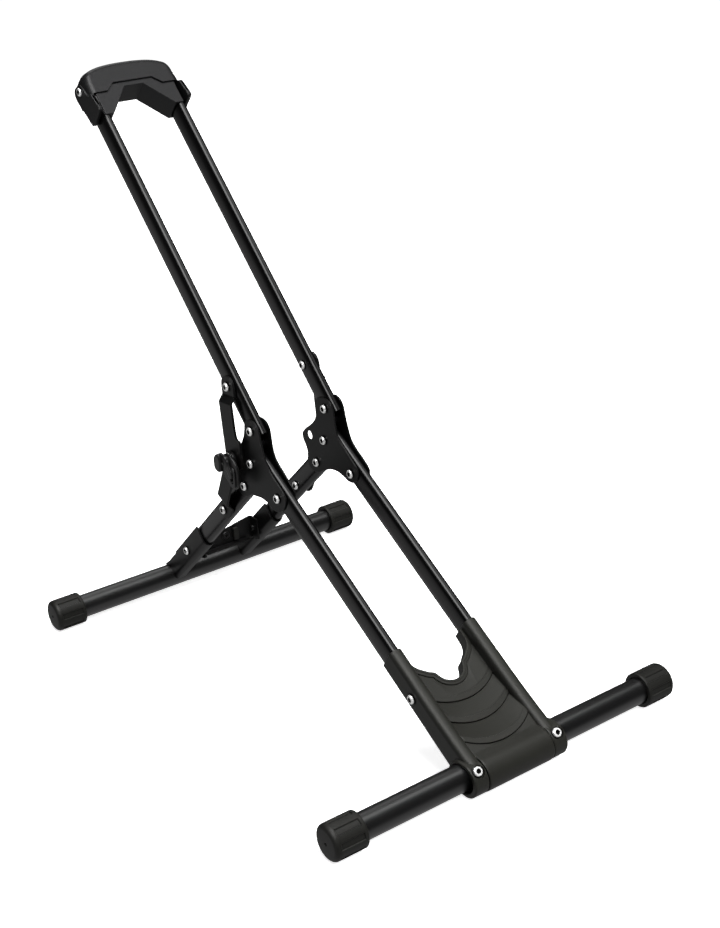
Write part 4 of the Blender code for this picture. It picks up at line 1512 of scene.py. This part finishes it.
@dataclass
class TopBracket:
    """The moulded bracket that joins the upper rails: a block, an arched cover and two guard arms.

    The cover and the arms are made in the upper rails' axes: across, along and outward.

    Args:
        crown: Half the cover's rounded top, from its middle, as (across, along).
        skirt: Half its stepped foot, from the side inwards.
        rounding: Its section from back to front, as (outward, crown drawn in, skirt drawn in).
        arm: Inner and outer face of a guard arm, from the middle.
        arm_edge: Outline of an arm, as (along, outward).
        pocket: The two corners of the pocket in an arm, as (along, outward).
        pocket_face: Where the pocket starts and ends across.
        seat: Where the bolt head's room starts and ends, from the middle, and its radius.
        block_edge: Rounding of the block's edges.
    """

    crown: Outline = (
        (0, 428.6), (13.5, 428.3), (27, 427), (36, 425), (42, 422.8), (47.8, 419.6), (51.9, 413.6),
        (53.5, 404),
    )
    skirt: Outline = ((53.5, 391.6), (32, 391.6), (22.5, 400.3), (0, 400.3))
    rounding: tuple[Triple, ...] = (
        (-14.3, 1.2, 0.3), (-14.0, 0.6, 0.1), (-13.4, 0.2, 0), (-12.4, 0, 0), (0, 0, 0), (3, 0.2, 0),
        (6, 0.75, 0), (8.5, 1.45, 0), (11, 2.4, 0), (12.6, 3.3, 0), (14, 4.5, 0), (14.9, 5.6, 0),
        (15.5, 6.7, 0), (15.75, 7.6, 0.06), (15.92, 8.6, 0.2), (16, 9.8, 0.45),
    )
    arm: Pair = (49.3, 54.0)
    arm_edge: Outline = (
        (367, -6.5), (366.4, 8), (367, 19), (369.5, 21), (373, 20.8), (387, 17.8), (390.5, 15.8), (392.5, 10),
        (403, 8), (410.5, 4.5), (414.6, -6.5), (411, -12.6), (403, -14), (392, -12), (380, -9.5),
    )
    pocket: tuple[Pair, Pair] = ((374, 9), (387.5, 25))
    pocket_face: Pair = (50.6, 52.7)
    seat: Triple = (53.1, 60, 6.1)
    block_edge: float = 0.7

    def cover(self) -> Solid:
        """The arched cover with its rounded crown and stepped skirt.

        Returns:
            The cover, with room for the bolts' heads.
        """
        top = smooth(mirrored(self.crown), 5, closed=False)
        foot = [*self.skirt, *((-x, y) for x, y in reversed(self.skirt) if x)]
        rings = []
        for out, crown_in, skirt_in in self.rounding:
            ring = drawn_in(top + foot, [crown_in] * len(top) + [skirt_in] * len(foot))
            # The skirt's corners stay straight below the crown's ends
            ring[len(top)] = (ring[len(top) - 1][0], ring[len(top)][1])
            ring[-1] = (ring[0][0], ring[-1][1])
            rings.append([(x, y, out) for x, y in ring])
        cover = along_member(lofted(rings), UPPER_PIVOT, UPPER_TILT)
        for side in Side:
            cover = carved(cover, on_side(across(drum(*self.seat), BRACKET_BOLT), side))
        return cover

    def guard(self, side: Side) -> Solid:
        """A guard arm over the rail's end.

        Args:
            side: Its side.

        Returns:
            The arm, with its pocket and the room for the bolt's head.
        """
        (low, near), (high, far) = self.pocket
        arm = plate(smooth(self.arm_edge), self.arm, edge=1.3, segments=4)
        pocket = plate([(low, near), (low, far), (high, far), (high, near)], self.pocket_face)
        arm, pocket = (along_member(bm, UPPER_PIVOT, UPPER_TILT) for bm in (arm, pocket))
        return on_side(carved(carved(arm, pocket), across(drum(*self.seat), BRACKET_BOLT)), side)

    def build(self) -> None:
        """Makes the block and its cover."""
        body = Body.UPPER.value
        block = refined("top_block", self.block_edge)
        show("top_block_moulding", block, BRACKET_PLASTIC, body, "top_block", sharp=40)
        whole = merged([self.cover()] + [self.guard(side) for side in Side])
        show("top_cover_moulding", whole, BRACKET_PLASTIC, body, "top_cover", sharp=36)


@dataclass(frozen=True)
class SoftBox:
    """A soft light.

    Args:
        name: Its name.
        spot: Where it stands.
        size: Its width and height.
        watts: Its power.
        shows: What it takes part in.
    """

    name: str
    spot: Triple
    size: Pair
    watts: float
    shows: Shows

    def build(self, towards: Triple) -> None:
        """Puts the light in the scene.

        Args:
            towards: The point that it faces.
        """
        data = bpy.data.lights.new(self.name, "AREA")
        data.shape = "RECTANGLE"
        data.size, data.size_y = self.size
        data.energy = self.watts
        light = bpy.data.objects.new(self.name, data)
        light.location = self.spot
        light.visible_glossy = self.shows is not Shows.DIFFUSE
        light.visible_diffuse = self.shows is not Shows.GLOSS
        aim = Vector(towards) - Vector(self.spot)
        light.rotation_euler = aim.to_track_quat("-Z", "Y").to_euler()
        bpy.context.scene.collection.objects.link(light)


@dataclass
class Studio:
    """The pale floor, the soft lights and the camera.

    Args:
        eye: The camera's place, in metres.
        ahead: The way that it looks.
        right: The way to the right of its picture.
        lens: Its focal length on a sensor of 36 mm.
        floor_radius: Radius of the floor.
        dome_radius: Radius of the backdrop.
        lit: The point that the lights face.
        lights: The lights.
        below: Height of direction up to which the sky is bright, and its strength there.
        above: Height from which it is dim, and its strength there.
        bright: X + Y of direction up to which it keeps its strength, and the share that it keeps.
        dim: X + Y from which it has faded, and the share that is left.
    """

    eye: Triple = (-0.7259, -1.1574, 0.7764)
    ahead: Triple = (0.52, 0.7617, -0.3865)
    right: Triple = (0.8092, -0.5841, -0.0625)
    lens: float = 58.19
    floor_radius: float = 4.5
    dome_radius: float = 20.0
    lit: Triple = (0, 0, 0.25)
    lights: tuple[SoftBox, ...] = (
        SoftBox("main_softbox", (1.3, -2.7, 5.6), (5.5, 5.5), 880, Shows.DIFFUSE),
        SoftBox("top_softbox", (-0.9, -0.35, 2.1), (1.2, 2.6), 136, Shows.GLOSS),
        SoftBox("right_softbox", (0.9, -0.4, 2.1), (0.8, 1.1), 9, Shows.GLOSS),
        SoftBox("back_softbox", (0.9, 2.1, 2.5), (1.5, 1.5), 15, Shows.BOTH),
        SoftBox("left_fill", (-2.4, -1.6, 0.8), (1.2, 1.2), 11, Shows.DIFFUSE),
    )
    below: Pair = (-0.28, 0.62)
    above: Pair = (-0.13, 0.085)
    bright: Pair = (0.5, 1.0)
    dim: Pair = (1.15, 0.25)

    def camera(self) -> None:
        """The camera at the photograph's viewing angle."""
        data = bpy.data.cameras.new("camera")
        data.lens = self.lens
        data.sensor_width = 36.0
        data.clip_start, data.clip_end = 0.01, 200.0
        camera = bpy.data.objects.new("camera", data)
        ahead = Vector(self.ahead).normalized()
        up = Vector(self.right).cross(ahead).normalized()
        turn = Matrix((ahead.cross(up), up, -ahead)).transposed().to_4x4()
        camera.matrix_world = Matrix.Translation(self.eye) @ turn
        bpy.context.scene.collection.objects.link(camera)
        bpy.context.scene.camera = camera

    def _stage(self, name: str, bm: Solid, paint: str, looks: dict) -> bpy.types.Object:
        """Puts a stage piece in the scene, which is seen but neither lights the stand nor shows in its gloss.

        Args:
            name: Its name.
            bm: Its solid, which is used up.
            paint: The name of its material.
            looks: The values of the material's sockets.

        Returns:
            The piece.
        """
        piece = as_object(name, bm)
        piece.visible_glossy = piece.visible_diffuse = False
        board = Board(bpy.data.materials.new(paint))
        for socket, value in ({"Emission Color": (1, 1, 1, 1)} | looks).items():
            board.feed(board.shader[socket], value)
        piece.data.materials.append(board.owner)
        return piece

    def floor(self) -> None:
        """A plain pale floor, a little below the caps, that glows so that its shadows stay faint."""
        bm = bmesh.new()
        bmesh.ops.create_circle(bm, cap_ends=True, segments=96, radius=self.floor_radius)
        bmesh.ops.translate(bm, vec=(0, 0, -0.0005), verts=bm.verts)
        self._stage("floor", bm, "pale_floor", {
            "Base Color": (0.93, 0.93, 0.93, 1), "Roughness": 0.9, "Emission Strength": 0.8,
            "Specular IOR Level": 0.1,
        })

    def dome(self) -> None:
        """A plain white backdrop all round, which lights nothing."""
        bm = bmesh.new()
        bmesh.ops.create_uvsphere(bm, u_segments=48, v_segments=24, radius=self.dome_radius)
        bmesh.ops.reverse_faces(bm, faces=bm.faces)
        dome = self._stage("backdrop", bm, "white_backdrop", {
            "Base Color": (0, 0, 0, 1), "Emission Strength": 1.05, "Specular IOR Level": 0.0,
        })
        dome.visible_shadow = dome.visible_transmission = False

    def sky(self) -> None:
        """Even light from all round, brighter from below, where gloss sees it in the floor's place."""
        board = Board(bpy.data.worlds.new("studio"))
        way = board.place("Generated")
        x, y, z = (board.node("ShaderNodeSeparateXYZ", {}, {0: way}, axis) for axis in "XYZ")
        strength = board.ramp(z, self.below, self.above) * board.ramp(x + y, self.bright, self.dim)
        board.feed(board.shader["Strength"], strength)
        board.feed(board.shader["Color"], (1, 1, 1, 1))
        bpy.context.scene.world = board.owner

    def build(self) -> None:
        """Makes the studio."""
        self.camera()
        self.floor()
        self.dome()
        for light in self.lights:
            light.build(self.lit)
        self.sky()
        bpy.context.scene.view_settings.view_transform = "Standard"


def main() -> None:
    """Builds the stand's looks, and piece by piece."""
    logging.basicConfig(level=logging.INFO, format="%(message)s")
    front, upper, rear = Body.FRONT.value, Body.UPPER.value, Body.REAR.value
    assemblies = [
        Studio(),
        CrossTube("front", FRONT_TUBE, front),
        CrossTube("rear", REAR_TUBE, rear),
        Member("lower_rail", front, LOWER_FROM, LOWER_TILT, reach=(20.0, 378.0)),
        Member("upper_rail", upper, UPPER_PIVOT, UPPER_TILT, reach=(-10.0, 411.5)),
        Member("leg", rear, LEG_PIVOT, LEG_TILT, reach=(-11.0, 205.0), depth=22.0, rise=1.2),
        Gussets(),
        Stays(),
        RearFittings(),
        Cradle(),
        TopBracket(),
        Hardware(),
    ]
    for assembly in assemblies:
        assembly.build()
        LOG.info("%s done", type(assembly).__name__)


if __name__ == "__main__":
    main()
